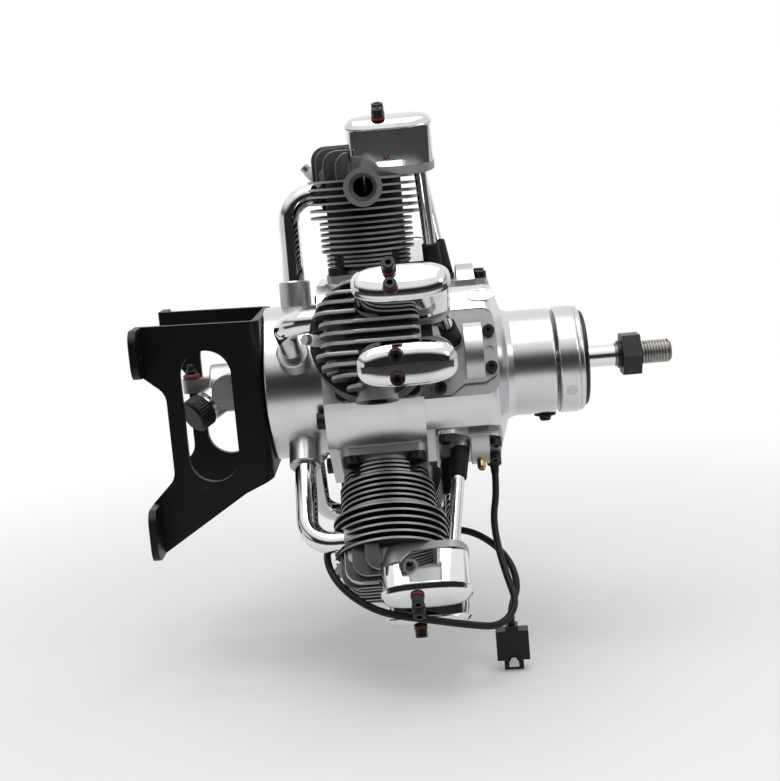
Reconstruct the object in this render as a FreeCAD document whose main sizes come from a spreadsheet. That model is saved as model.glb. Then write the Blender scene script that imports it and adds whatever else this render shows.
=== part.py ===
import FreeCAD, Part
import math
import os
import re
import Sketcher
from FreeCAD import Placement, Rotation, Vector

# Five-cylinder four-stroke model radial engine on its bent sheet mount.
# Object frame: +X forward to the propeller, +Z up, origin at the centre of the
# mount's firewall bolt pattern. Engine pieces are drawn in the crank frame
# (crank axis along X, first cylinder up along Z, cylinder plane at X = 0)
# and placed from there.

CYLINDERS = 5
STEP_ANGLE = 360.0 / CYLINDERS
ANGLES = [number * STEP_ANGLE for number in range(CYLINDERS)]
SIDES = (1, -1)
AXIS_X = Vector(1, 0, 0)
AXIS_Y = Vector(0, 1, 0)
AXIS_Z = Vector(0, 0, 1)

doc = FreeCAD.newDocument("radial_engine")
sheet = doc.addObject("Spreadsheet::Sheet", "Sizes")
names = []
nodes = []


# Helpers for the sheet

def size(name, number, note):
    row = len(names) + 1
    sheet.set(f"A{row}", name)
    sheet.set(f"B{row}", str(number))
    sheet.setAlias(f"B{row}", name)
    sheet.set(f"C{row}", note)
    names.append(name)


def val(text):
    return float(sheet.evalExpression(str(text)))


def bound(text):
    return re.sub(r"[a-z]\w*", lambda word: f"Sizes.{word[0]}" if word[0] in names else word[0], str(text))


# Helpers for sketches and features

def body(name):
    return doc.addObject("PartDesign::Body", name)


def origin_of(owner, role):
    return next(item for item in owner.Origin.OriginFeatures if item.Role == role)


def sketch(owner, role, offset="0"):
    made = owner.newObject("Sketcher::SketchObject", owner.Name + "_sketch")
    made.AttachmentSupport = [(origin_of(owner, role), "")]
    made.MapMode = "FlatFace"
    made.AttachmentOffset = Placement(Vector(0, 0, val(offset)), Rotation())
    made.setExpression(".AttachmentOffset.Base.z", bound(offset))
    return made


def pin_point(drawing, geometry, position, across, up):
    for kind, text in (("DistanceX", across), ("DistanceY", up)):
        number = drawing.addConstraint(Sketcher.Constraint(kind, -1, 1, geometry, position, val(text)))
        if re.search("[a-z]", str(text)):
            drawing.setExpression(f"Constraints[{number}]", bound(text))


def set_radius(drawing, geometry, radius):
    number = drawing.addConstraint(Sketcher.Constraint("Radius", geometry, val(radius)))
    drawing.setExpression(f"Constraints[{number}]", bound(radius))


def circle(drawing, radius, across="0", up="0"):
    centre = Vector(val(across), val(up), 0)
    geometry = drawing.addGeometry(Part.Circle(centre, AXIS_Z, val(radius)))
    pin_point(drawing, geometry, 3, across, up)
    set_radius(drawing, geometry, radius)


def outline(drawing, corners):
    # a corner is (across, up) or (across, up, radius)
    places = [Vector(val(corner[0]), val(corner[1]), 0) for corner in corners]
    count = len(corners)
    ends = []
    for number, corner in enumerate(corners):
        here = places[number]
        if len(corner) == 2:
            ends.append((here, here, None))
            continue
        back = (places[number - 1] - here).normalize()
        ahead = (places[(number + 1) % count] - here).normalize()
        half = back.getAngle(ahead) / 2
        reach = val(corner[2]) / math.tan(half)
        middle = (back + ahead).normalize()
        top = here + middle * (val(corner[2]) / math.sin(half) - val(corner[2]))
        ends.append((here + back * reach, here + ahead * reach, top))
    lines = []
    for number in range(count):
        start = ends[number][1]
        finish = ends[(number + 1) % count][0]
        lines.append(drawing.addGeometry(Part.LineSegment(start, finish)))
    for number, corner in enumerate(corners):
        before, after = lines[number - 1], lines[number]
        if len(corner) == 2:
            drawing.addConstraint(Sketcher.Constraint("Coincident", before, 2, after, 1))
            pin_point(drawing, after, 1, corner[0], corner[1])
            continue
        first, last, top = ends[number]
        arc = drawing.addGeometry(Part.ArcOfCircle(first, top, last))
        turns_left = (top - first).cross(last - top).z > 0
        arc_start, arc_end = (1, 2) if turns_left else (2, 1)
        drawing.addConstraint(Sketcher.Constraint("Tangent", before, 2, arc, arc_start))
        drawing.addConstraint(Sketcher.Constraint("Tangent", arc, arc_end, after, 1))
        set_radius(drawing, arc, corner[2])
        point = drawing.addGeometry(Part.Point(places[number]), True)
        pin_point(drawing, point, 1, corner[0], corner[1])
        drawing.addConstraint(Sketcher.Constraint("PointOnObject", point, 1, before))
        drawing.addConstraint(Sketcher.Constraint("PointOnObject", point, 1, after))


def rectangle(drawing, left, right, low, high):
    outline(drawing, [(left, low), (right, low), (right, high), (left, high)])


def feature(owner, kind, drawing):
    made = owner.newObject("PartDesign::" + kind, f"{owner.Name}_{kind.lower()}")
    made.Profile = drawing
    return made


def pad(owner, drawing, length, symmetric=False, reverse=False):
    made = feature(owner, "Pad", drawing)
    made.setExpression("Length", bound(length))
    if symmetric:
        made.SideType = "Symmetric"
    made.Reversed = reverse
    return made


def pocket(owner, drawing, length, symmetric=False, reverse=False):
    made = feature(owner, "Pocket", drawing)
    made.setExpression("Length", bound(length))
    if symmetric:
        made.SideType = "Symmetric"
    made.Reversed = reverse
    return made


def revolve(owner, drawing, axis):
    made = feature(owner, "Revolution", drawing)
    made.ReferenceAxis = (drawing, [axis])
    made.Angle = 360
    return made


def groove(owner, drawing, axis):
    made = feature(owner, "Groove", drawing)
    made.ReferenceAxis = (drawing, [axis])
    made.Angle = 360
    return made


def ring_pattern(owner, original, count=CYLINDERS, role="X_Axis"):
    made = owner.newObject("PartDesign::PolarPattern", owner.Name + "_ring")
    made.Originals = [original]
    made.Axis = (origin_of(owner, role), [""])
    made.Angle = 360
    made.Occurrences = count
    owner.Tip = made
    return made


def row_pattern(owner, original, role, pitch, count):
    made = owner.newObject("PartDesign::LinearPattern", owner.Name + "_row")
    made.Originals = [original]
    made.Direction = (origin_of(owner, role), [""])
    made.Mode = "Spacing"
    made.setExpression("Offset", bound(pitch))
    made.Occurrences = count
    owner.Tip = made
    return made


def lathe(name, corners, axis="H_Axis", role="XZ_Plane"):
    made = body(name)
    drawing = sketch(made, role)
    outline(drawing, corners)
    revolve(made, drawing, axis)
    return made


def rod(name, radius, start, finish, bore=None, role="YZ_Plane"):
    # round bar, or tube, along the normal of the named plane
    made = body(name)
    drawing = sketch(made, role, start)
    circle(drawing, radius)
    if bore:
        circle(drawing, bore)
    pad(made, drawing, f"({finish}) - ({start})")
    return made


# Helpers for booleans, copies and sub-parts

def fuse(name, shapes):
    made = doc.addObject("Part::MultiFuse", name)
    made.Shapes = shapes
    made.Refine = True
    return made


def cut(name, base, tool):
    made = doc.addObject("Part::Cut", name)
    made.Base = base
    made.Tool = tool
    made.Refine = True
    return made


def copy_of(source, place, name=None):
    made = doc.addObject("App::Link", name or source.Name + "_copy")
    made.LinkedObject = source
    made.Placement = place
    return made


def crank_place():
    return Placement(Vector(val("firewall_distance"), 0, val("crank_height")), Rotation())


def at_cylinder(angle, local=None):
    turned = Placement(Vector(0, 0, 0), Rotation(AXIS_X, angle))
    return crank_place() * turned * (local or Placement())


def shift(across, side, up):
    return Placement(Vector(val(across), val(side), val(up)), Rotation())


def box_tilt(side):
    # a rocker box's own frame: origin at the top of its crown, leaning outward
    return Placement(
        Vector(val("box_middle"), side * val("crown_side"), val("crown_height")),
        Rotation(AXIS_X, -side * val("box_lean")))


def along(start, finish):
    # a placement whose +Z runs from one point to another
    return Placement(start, Rotation(AXIS_Z, finish - start))


def part(name, made):
    made.Label = name
    nodes.append(made)
    return made


def engine_part(name, made):
    made.Placement = crank_place()
    made.setExpression(".Placement.Base.x", bound("firewall_distance"))
    made.setExpression(".Placement.Base.z", bound("crank_height"))
    return part(name, made)


def group(name, copies):
    made = doc.addObject("Part::Compound", name + "_group")
    made.Links = copies
    return part(name, made)


# Sizes: frame and fits
size("firewall_distance", 98, "firewall plane to cylinder plane")
size("crank_height", 15, "crank axis above the centre of the firewall bolt pattern")
size("run_gap", 0.05, "radial clearance of running fits")
size("snug_gap", 0.02, "radial clearance of pieces pressed or screwed together")

# Sizes: crankcase and rear
size("case_radius", 46, "crankcase round corners")
size("pad_apothem", 42.5, "crank axis to a cylinder pad")
size("case_back", 19, "crankcase rear face behind the cylinder plane")
size("case_front", 18.2, "crankcase front face ahead of the cylinder plane")
size("chamber_radius", 33, "crank chamber")
size("chamber_front", 11.2, "front end of the crank chamber")
size("cover_plate", 3.5, "rear cover plate thickness")
size("spigot_depth", 3, "rear cover spigot in the case")
size("mixture_port", 6, "mixture port radius in the rear cover")
size("rear_screw_circle", 38.5, "circle of the rear cover screws")
size("rear_screw_angle", 36, "first rear cover screw from the top, degrees")
size("housing_radius", 33, "induction housing outside")
size("housing_wall", 3.6, "induction housing wall")
size("housing_back", 47, "induction housing rear face behind the cylinder plane")
size("spot_depth", 2, "depth of a collar seat in the housing")

# Sizes: mount
size("sheet_thickness", 3, "mount sheet")
size("mount_half_width", 31.5, "outer half width of the mount")
size("mount_top", 31, "top edge above the crank axis")
size("mount_low", 35.6, "front plate's low edge below the crank axis")
size("slope_start", 11.9, "where the low edge starts to slope, behind the plate")
size("slope_drop", 5.1, "drop of the low edge at the slope's start")
size("bend_radius", 2, "inner bend radius")
size("foot_out", 17, "how far a foot reaches outward")
size("foot_side", 40, "firewall hole to the middle plane")
size("foot_up", 37.5, "firewall hole to the pattern centre")
size("foot_hole", 2.7, "firewall hole radius")
size("top_foot_height", 20, "height of a top foot")
size("low_foot_height", 21.5, "height of a low foot")
size("waist_depth", 10, "how far the rear edge is cut back between the feet")
size("waist_top", 4, "top of the waist above the crank axis")
size("waist_low", 32, "low end of the waist below the crank axis")
size("waist_round", 8, "round of the waist")
size("slot_width", 21, "side slot width")
size("slot_height", 55.3, "side slot height")
size("slot_back", 70.8, "slot centre behind the cylinder plane")
size("slot_low", 7, "slot centre below the crank axis")
size("plate_hole", 12, "carburettor opening in the mount's front plate")
size("plate_screw_circle", 22, "radius of the plate's screw circle")

# Sizes: cylinders
size("piston_radius", 13.45, "piston")
size("bore_gap", 0.05, "piston to bore")
size("sleeve_radius", 15.2, "cylinder sleeve outside")
size("sleeve_end", 36.5, "sleeve's inner end from the crank axis")
size("flange_half", 18, "cylinder flange half width")
size("flange_height", 3, "cylinder flange thickness")
size("barrel_radius", 16.3, "barrel between the fins")
size("fin_thickness", 0.9, "fin")
size("low_fin_radius", 18, "fins near the flange")
size("low_fin_start", 49.2, "first low fin")
size("low_fin_pitch", 1.85, "pitch of the low fins")
size("barrel_fin_radius", 19.8, "barrel fins")
size("barrel_fin_start", 55, "first barrel fin")
size("barrel_fin_pitch", 2.36, "pitch of the barrel fins")
size("head_fin_radius", 23.3, "head fins")
size("head_fin_start", 69.4, "first head fin")
size("head_fin_pitch", 3.02, "pitch of the head fins")
size("head_top", 92, "top of the head block")
size("roof_edge", 68.6, "edge of the combustion chamber roof")
size("roof_top", 72, "middle of the combustion chamber roof")
size("screw_across", 13.7, "cylinder screw ahead of the cylinder axis")
size("screw_side", 14.5, "cylinder screw beside the cylinder axis")
size("rib_thickness", 1.3, "upright head rib")
size("rib_pitch", 3.9, "pitch of the head ribs")
size("rib_top", 99, "top of the head ribs")
size("head_back", 18.8, "rear edge of the head")
size("head_half", 13.5, "half width of the head block")
size("exhaust_height", 81.3, "exhaust port from the crank axis")
size("exhaust_reach", 24, "exhaust face from the cylinder axis")
size("exhaust_boss", 8, "exhaust boss radius")
size("exhaust_mouth", 5.75, "exhaust thread radius")
size("exhaust_mouth_depth", 6, "exhaust thread depth")
size("port_radius", 4.2, "port radius inside the head")

# Sizes: rocker boxes and covers
size("box_lean", 16.5, "outward lean of a rocker box, degrees")
size("box_middle", 12.9, "middle of a rocker box ahead of the cylinder plane")
size("crown_side", 16.2, "top of a crown beside the cylinder axis")
size("crown_height", 109.4, "top of a crown from the crank axis")
size("box_length", 35.6, "rocker cover length")
size("box_width", 15, "rocker cover width")
size("cover_wall", 1.2, "rocker cover wall")
size("crown_inset", 0.8, "crown smaller than the cover's rim")
size("crown_depth", 3.4, "rim below the crown's top")
size("crown_round", 2.6, "round of the crown")
size("seat_back", 14.4, "cover's lower edge below the crown at the rear")
size("seat_front", 19.9, "cover's lower edge below the crown at the front")
size("tray_bottom", 23.2, "rocker tray's underside below the crown")
size("cover_screw_back", 3.8, "cover screws behind the box's middle")
size("cover_screw_side", 4.2, "cover screw beside the box's middle")

# Sizes: valve gear
size("valve_back", 11.9, "valve behind the box's middle")
size("seat_depth", 39, "valve seat below the crown")
size("valve_head", 4.3, "valve head radius")
size("stem_radius", 1.25, "valve stem radius")
size("valve_tip", 10.6, "valve tip below the crown")
size("spring_seat", 19, "spring seat below the crown")
size("spring_radius", 2.7, "spring mean radius")
size("spring_wire", 0.45, "spring wire radius")
size("rocker_shaft_radius", 1.5, "rocker shaft")
size("rocker_shaft_depth", 10, "rocker shaft below the crown")
size("rocker_shaft_place", 1.6, "rocker shaft ahead of the box's middle")
size("rocker_half", 1.9, "rocker half width")
size("tube_radius", 2.7, "pushrod tube outside")
size("tube_bore", 2, "pushrod tube inside")
size("pushrod_radius", 1.2, "pushrod")
size("tube_low_side", 5.5, "pushrod tube at the block, beside the cylinder axis")
size("tube_low_height", 41.2, "pushrod tube's lower end from the crank axis")
size("tube_top_side", 14.5, "pushrod tube at the tray, beside the cylinder axis")
size("tube_top_front", 24.5, "pushrod tube at the tray, ahead of the cylinder plane")
size("tube_top_height", 88.4, "pushrod tube's top from the crank axis")
size("front_track", 31.6, "front cam track ahead of the cylinder plane")
size("rear_track", 27.2, "rear cam track ahead of the cylinder plane")
size("boot_radius", 4, "rubber boot at its foot")
size("boot_top_radius", 3.6, "rubber boot at its top")
size("boot_length", 14.5, "rubber boot length")
size("tappet_radius", 2.1, "tappet")

# Sizes: front case
size("front_radius", 41, "front case outside")
size("flat_apothem", 36, "crank axis to a tappet block flat")
size("flat_half", 18, "half width of a tappet block flat")
size("flat_front", 49.8, "front end of a tappet block flat")
size("flat_round", 6, "front corners of a tappet block flat")
size("shoulder_front", 48.5, "start of the front shoulder")
size("nose_start", 54, "start of the nose")
size("nose_base_radius", 23.8, "nose at the shoulder")
size("nose_radius", 22.7, "nose")
size("nose_front", 75, "front face of the nose")
size("cavity_radius", 34.3, "cam cavity")
size("cavity_front", 38, "front of the cam cavity")
size("nose_bore", 8, "bore of the nose behind the front bearing")
size("cam_boss_radius", 8.5, "boss that the cam ring turns on")
size("cam_boss_start", 32.7, "rear end of the cam ring's boss")

# Sizes: tappet blocks
size("block_back", 21.8, "tappet block's rear edge")
size("block_plate", 3, "tappet block plate thickness")
size("block_half", 17.4, "half width of the block at its rear screws")
size("saddle_back", 36.4, "saddle's rear face")
size("saddle_front", 43.8, "saddle's front face")
size("saddle_half", 13.2, "saddle half width")
size("saddle_crown", 44.8, "saddle crown from the crank axis")
size("block_tip", 49.3, "tappet block's front edge")
size("block_boss", 4.4, "boss under a boot")
size("block_screw_back", 25.4, "rear block screws")
size("block_screw_back_side", 14.4, "rear block screw to the middle")
size("block_screw_front", 46.6, "front block screws")
size("block_screw_front_side", 7.5, "front block screw to the middle")

# Sizes: screws
size("big_screw", 2, "M4 screw shank radius")
size("big_head", 3.5, "M4 socket head radius")
size("big_head_height", 3.4, "M4 socket head height")
size("small_screw", 1.25, "M2.5 screw shank radius")
size("small_head", 2.45, "M2.5 socket head radius")
size("small_head_height", 3.6, "M2.5 socket head height")
size("head_bevel", 0.3, "bevel round a socket head")
size("screw_depth", 7, "screw length below its seat")
size("washer_radius", 2.8, "red cover washer")
size("washer_thickness", 0.8, "red cover washer")

# Sizes: spark plug
size("plug_back", 12.5, "plug seat behind the cylinder plane")
size("plug_height", 77.9, "plug seat from the crank axis")
size("plug_lean", 41, "rearward lean of the plug, degrees")
size("plug_thread", 3, "plug thread radius")
size("plug_hex", 7, "plug hexagon across flats")
size("plug_shell", 7.5, "length of the metal shell above the seat")
size("insulator_radius", 2.3, "plug insulator radius")
size("insulator_length", 8.2, "plug insulator length")
size("terminal_radius", 1.9, "plug terminal radius")
size("terminal_length", 2.5, "plug terminal length")

# Sizes: intake pipes
size("pipe_clock", 6.6, "intake pipes ahead of the cylinders, degrees")
size("pipe_radius", 4.5, "intake pipe outside")
size("pipe_bore", 3.6, "intake pipe inside")
size("pipe_back", 33.4, "intake pipe behind the cylinder plane")
size("pipe_level", 79.9, "intake pipe's top run from the crank axis")
size("pipe_bend", 10.8, "intake pipe bend radius")
size("pipe_end", 15.5, "pipe's end behind the cylinder plane")
size("intake_face", 18.4, "intake boss face behind the cylinder plane")
size("intake_boss", 6.4, "intake boss radius")
size("collar_radius", 6.65, "intake collar radius")
size("collar_top", 43.4, "intake collar's outer end from the crank axis")

# Sizes: crank train
size("throw", 12.8, "crank throw")
size("crankpin_radius", 5, "crankpin")
size("pin_gap", 0.3, "gap between the crankpin and the turning web")
size("rod_length", 45.2, "master rod")
size("knuckle_circle", 10.5, "knuckle pins round the crankpin")
size("knuckle_pin", 1.8, "knuckle pin radius")
size("wrist_pin", 3, "wrist pin radius")
size("rod_half", 4.5, "half width of the master rod's big end")
size("link_half", 2, "half width of a link rod")
size("piston_crown", 9, "piston crown above its pin")
size("piston_skirt", 6, "piston skirt below its pin")
size("piston_wall", 1.6, "piston skirt wall")
size("web_start", 5.1, "crank web's rear face")
size("web_thickness", 5, "crank web")
size("journal_radius", 8.5, "rear main journal")
size("shaft_radius", 5, "propeller shaft")
size("shaft_step", 18.6, "where the shaft steps down")
size("shaft_end", 126.5, "front end of the shaft")
size("free_radius", 4.8, "threaded free end ahead of the nut, between crest and root of its thread")
size("relief_radius", 4.65, "polished relief ahead of the drive ring")
size("main_bearing_start", 12.2, "rear main bearing")
size("main_bearing_width", 5, "rear main bearing width")
size("main_bearing_radius", 13, "rear main bearing outside")
size("nose_bearing_start", 66, "front bearing")
size("nose_bearing_width", 8, "front bearing width")
size("nose_bearing_radius", 13, "front bearing outside")
size("race_wall", 1.6, "bearing race wall")

# Sizes: cam gear train
size("gear_module", 0.7, "module of the cam gears")
size("gear_start", 22.3, "rear face of the cam gears")
size("gear_width", 6, "width of the cam gears")
size("backlash", 0.08, "tooth play on the pitch circle")
size("idler_pin_radius", 2, "idler pin")
size("cam_back", 22, "rear face of the cam ring")
size("cam_front", 36, "front face of the cam ring")
size("cam_web", 3, "cam ring front web")
size("cam_base", 30.2, "cam base circle")
size("cam_lobe", 32.9, "cam lobe top")
size("track_width", 4.3, "cam track width")
size("tappet_gap", 0.3, "tappet foot above the lobe circle")

# Sizes: propeller drive
size("driver_back", 76.2, "propeller driver's rear face")
size("driver_front", 85.2, "propeller driver's front face")
size("driver_radius", 23, "propeller driver")
size("ring_front", 89, "drive ring's front face")
size("ring_radius", 20.5, "drive ring")
size("nut_collar_back", 103.4, "nut collar")
size("nut_collar_radius", 5.9, "nut collar")
size("nut_collar_length", 1.6, "nut collar length")
size("nut_length", 8, "nut hexagon length")
size("nut_flats", 17, "nut across flats")
size("free_start", 113.3, "rear end of the threaded free end, just ahead of the nut")
size("magnet_radius", 2.5, "trigger magnet")
size("magnet_depth", 3, "depth of the trigger magnet in the driver")
size("magnet_angle", 117, "trigger magnet from the top at rest, degrees")

# Sizes: carburettor
size("carb_body", 10.5, "carburettor body radius")
size("carb_length", 20, "carburettor body behind the plate")
size("carb_bore", 5, "carburettor bore")
size("barrel_place", 64, "throttle barrel behind the cylinder plane")
size("barrel_housing", 7.5, "throttle barrel housing radius")
size("barrel_half", 15, "half length of the throttle barrel housing")
size("throttle_radius", 5.6, "throttle barrel radius")
size("horn_radius", 5.2, "air tube radius")
size("horn_start", 13, "air tube's inner end from the carburettor's middle")
size("horn_end", 21.5, "air tube's outer end from the carburettor's middle")
size("cap_radius", 7, "air cap radius")
size("arm_reach", 10.8, "throttle arm's tip from its hinge")
size("needle_radius", 1.6, "mixture needle radius")
size("needle_low", -0.5, "needle lug's underside from the crank axis")
size("needle_high", 5.5, "needle lug's top from the crank axis")

# Sizes: ignition sensor, nipple and cord
size("sensor_place", 70.5, "ignition sensor ahead of the cylinder plane")
size("sensor_radius", 3, "ignition sensor radius")
size("sensor_drop", 3.4, "ignition sensor below the nose")
size("nipple_radius", 1.85, "drain nipple radius")
size("nipple_length", 4, "drain nipple length")
size("cord_radius", 1.5, "cord radius")
size("sleeve_foot", 2.6, "strain relief radius in the case")
size("relief_length", 8.5, "strain relief length")
size("connector_width", 13.5, "cord connector width")
size("connector_height", 18.5, "cord connector height")
size("connector_depth", 6.5, "cord connector depth")
doc.recompute()


# Crankcase: a round ring milled flat for five cylinders, with a wall for the main bearing

def make_crankcase():
    case = body("crankcase")
    drawing = sketch(case, "YZ_Plane", "-case_back")
    circle(drawing, "case_radius")
    pad(case, drawing, "case_back + case_front")
    drawing = sketch(case, "XZ_Plane")
    rectangle(drawing, "-case_back - 1", "case_front + 1", "pad_apothem", "case_radius + 2")
    ring_pattern(case, pocket(case, drawing, "case_radius", symmetric=True))
    drawing = sketch(case, "XZ_Plane")
    outline(drawing, [
        ("-case_back - 1", "0"), ("-case_back - 1", "chamber_radius"), ("chamber_front", "chamber_radius"),
        ("chamber_front", "main_bearing_radius - race_wall"),
        ("main_bearing_start", "main_bearing_radius - race_wall"),
        ("main_bearing_start", "main_bearing_radius + snug_gap"),
        ("case_front + 1", "main_bearing_radius + snug_gap"), ("case_front + 1", "0")])
    groove(case, drawing, "H_Axis")
    drawing = sketch(case, "XY_Plane")
    circle(drawing, "sleeve_radius + snug_gap")
    ring_pattern(case, pocket(case, drawing, "case_radius + 2", reverse=True))
    drawing = sketch(case, "XY_Plane", "pad_apothem")
    for across in ("screw_across", "-screw_across"):
        for side in ("screw_side", "-screw_side"):
            circle(drawing, "big_screw + snug_gap", across, side)
    ring_pattern(case, pocket(case, drawing, "screw_depth"))
    drawing = sketch(case, "YZ_Plane", "-case_back")
    circle(drawing, "big_screw + snug_gap", "rear_screw_circle * sin(rear_screw_angle)",
           "rear_screw_circle * cos(rear_screw_angle)")
    ring_pattern(case, pocket(case, drawing, "screw_depth + 0.5", reverse=True))
    drawing = sketch(case, "YZ_Plane", "chamber_front")
    circle(drawing, "idler_pin_radius + snug_gap", "0", "gear_module * 25")
    pocket(case, drawing, "case_front", reverse=True)
    return engine_part("crankcase", case)


# Rear cover: the plate that closes the crank chamber, with a spigot and a mixture port

def make_rear_cover():
    plate = body("rear_cover")
    drawing = sketch(plate, "YZ_Plane", "-case_back - cover_plate")
    circle(drawing, "case_radius - 0.6")
    pad(plate, drawing, "cover_plate")
    drawing = sketch(plate, "XZ_Plane")
    rectangle(drawing, "-case_back - cover_plate - 1", "1 - case_back", "pad_apothem - 0.6", "case_radius + 2")
    ring_pattern(plate, pocket(plate, drawing, "case_radius", symmetric=True))
    drawing = sketch(plate, "YZ_Plane", "-case_back")
    circle(drawing, "chamber_radius - snug_gap")
    pad(plate, drawing, "spigot_depth")
    drawing = sketch(plate, "YZ_Plane", "-case_back - cover_plate")
    circle(drawing, "mixture_port")
    pocket(plate, drawing, "cover_plate + spigot_depth + 1", reverse=True)
    drawing = sketch(plate, "XY_Plane")
    circle(drawing, "sleeve_radius + 1")
    ring_pattern(plate, pocket(plate, drawing, "case_radius", reverse=True))
    drawing = sketch(plate, "YZ_Plane", "-case_back - cover_plate")
    circle(drawing, "big_screw + snug_gap", "rear_screw_circle * sin(rear_screw_angle)",
           "rear_screw_circle * cos(rear_screw_angle)")
    ring_pattern(plate, pocket(plate, drawing, "cover_plate + 1", reverse=True))
    return engine_part("rear_cover", plate)


# Induction housing: a cup with a rear port and five collar seats

def make_induction_housing():
    cup = lathe("housing_cup", [
        ("-housing_back", "mixture_port + 2"), ("-housing_back", "housing_radius", "1.2"),
        ("-case_back - cover_plate", "housing_radius"),
        ("-case_back - cover_plate", "housing_radius - housing_wall"),
        ("-housing_back + housing_wall", "housing_radius - housing_wall", "2"),
        ("-housing_back + housing_wall", "mixture_port + 2")])
    turned = body("collar_seat_tool")
    drawing = sketch(turned, "XY_Plane", "housing_radius - spot_depth")
    circle(drawing, "collar_radius + snug_gap", "-pipe_back", "0")
    pad(turned, drawing, "spot_depth + 3")
    drawing = sketch(turned, "XY_Plane", "housing_radius - housing_wall - 2")
    circle(drawing, "pipe_radius + snug_gap", "-pipe_back", "0")
    pad(turned, drawing, "housing_wall + 3")
    seats = fuse("collar_seat_tools", [
        copy_of(turned, Placement(Vector(), Rotation(AXIS_X, angle - val("pipe_clock")))) for angle in ANGLES])
    screws = rod("plate_screw_tool", "big_screw + snug_gap", "-housing_back - 1", "-housing_back + housing_wall + 1")
    holes = fuse("plate_screw_tools", [
        copy_of(screws, Placement(Vector(), Rotation(AXIS_X, angle)) * shift(0, 0, "plate_screw_circle"))
        for angle in (45, 135, 225, 315)])
    return engine_part("induction_housing", cut("housing_cut", cup, fuse("housing_tools", [seats, holes])))


# Engine mount: one sheet bent to a front plate, two slotted sides and four feet

def make_mount():
    mount = body("engine_mount")
    wall = "firewall_distance - housing_back"
    top = "mount_top + crank_height"
    low = "crank_height - mount_low"
    hole_top = "foot_up + top_foot_height / 2"
    hole_low = "-foot_up - low_foot_height / 2"
    drawing = sketch(mount, "XZ_Plane", "-mount_half_width")
    outline(drawing, [
        ("0", hole_top), (wall, top), (wall, low), (f"{wall} - slope_start", f"{low} - slope_drop"),
        ("sheet_thickness", hole_low), ("0", hole_low), ("0", "-foot_up + low_foot_height / 2"),
        ("waist_depth", "crank_height - waist_low", "waist_round"),
        ("waist_depth", "crank_height + waist_top", "waist_round"),
        ("0", "foot_up - top_foot_height / 2")])
    pad(mount, drawing, "mount_half_width * 2")
    drawing = sketch(mount, "XY_Plane", "-firewall_distance")
    rectangle(drawing, "-1", f"{wall} - sheet_thickness",
              "sheet_thickness - mount_half_width", "mount_half_width - sheet_thickness")
    inside = pocket(mount, drawing, "firewall_distance * 2", reverse=True)
    doc.recompute()
    corners = [f"Edge{number}" for number, edge in enumerate(inside.Shape.Edges, 1)
               if at_bend(edge, val(f"{wall} - sheet_thickness"), val("mount_half_width - sheet_thickness"))]
    inner_bend = mount.newObject("PartDesign::Fillet", "inner_bend")
    inner_bend.Base = (inside, corners)
    inner_bend.setExpression("Radius", bound("bend_radius"))
    doc.recompute()
    outer = [f"Edge{number}" for number, edge in enumerate(inner_bend.Shape.Edges, 1)
             if at_bend(edge, val(wall), val("mount_half_width"))]
    outer_bend = mount.newObject("PartDesign::Fillet", "outer_bend")
    outer_bend.Base = (inner_bend, outer)
    outer_bend.setExpression("Radius", bound("bend_radius + sheet_thickness"))
    drawing = sketch(mount, "XZ_Plane")
    across = "firewall_distance - slot_back"
    up = "crank_height - slot_low"
    round_end = "slot_width / 2 - 0.01"
    outline(drawing, [
        (f"{across} - slot_width / 2", f"{up} - slot_height / 2", round_end),
        (f"{across} + slot_width / 2", f"{up} - slot_height / 2", round_end),
        (f"{across} + slot_width / 2", f"{up} + slot_height / 2", round_end),
        (f"{across} - slot_width / 2", f"{up} + slot_height / 2", round_end)])
    pocket(mount, drawing, "mount_half_width * 3", symmetric=True)
    for side in SIDES:
        for level, height in (("foot_up", "top_foot_height"), ("-foot_up", "low_foot_height")):
            drawing = sketch(mount, "YZ_Plane")
            near, far = f"{side} * (mount_half_width - 0.5)", f"{side} * (mount_half_width + foot_out)"
            outline(drawing, [
                (near, f"{level} - {height} / 2"), (far, f"{level} - {height} / 2", "6"),
                (far, f"{level} + {height} / 2", "6"), (near, f"{level} + {height} / 2")])
            pad(mount, drawing, "sheet_thickness")
    drawing = sketch(mount, "YZ_Plane")
    for side in ("foot_side", "-foot_side"):
        for level in ("foot_up", "-foot_up"):
            circle(drawing, "foot_hole", side, level)
    pocket(mount, drawing, "sheet_thickness * 2", symmetric=True)
    drawing = sketch(mount, "YZ_Plane", f"{wall} - sheet_thickness")
    circle(drawing, "plate_hole", "0", "crank_height")
    for angle in (45, 135, 225, 315):
        circle(drawing, "big_screw + snug_gap", f"plate_screw_circle * sin({angle})",
               f"crank_height + plate_screw_circle * cos({angle})")
    pocket(mount, drawing, "sheet_thickness + 1", reverse=True)
    return part("engine_mount", mount)


def at_bend(edge, across, side):
    box = edge.BoundBox
    return (box.ZLength > 5 and box.XLength < 0.01 and box.YLength < 0.01
            and abs(box.XMin - across) < 0.01 and abs(abs(box.YMin) - side) < 0.01)


# Cylinder with its head in one piece: finned barrel, ports, plug boss and two rocker trays

def fin_row(owner, radius, start, pitch, count):
    drawing = sketch(owner, "XZ_Plane")
    rectangle(drawing, "piston_radius + bore_gap + 0.5", radius, f"{start} - fin_thickness / 2",
              f"{start} + fin_thickness / 2")
    return row_pattern(owner, revolve(owner, drawing, "V_Axis"), "Z_Axis", pitch, count)


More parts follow.
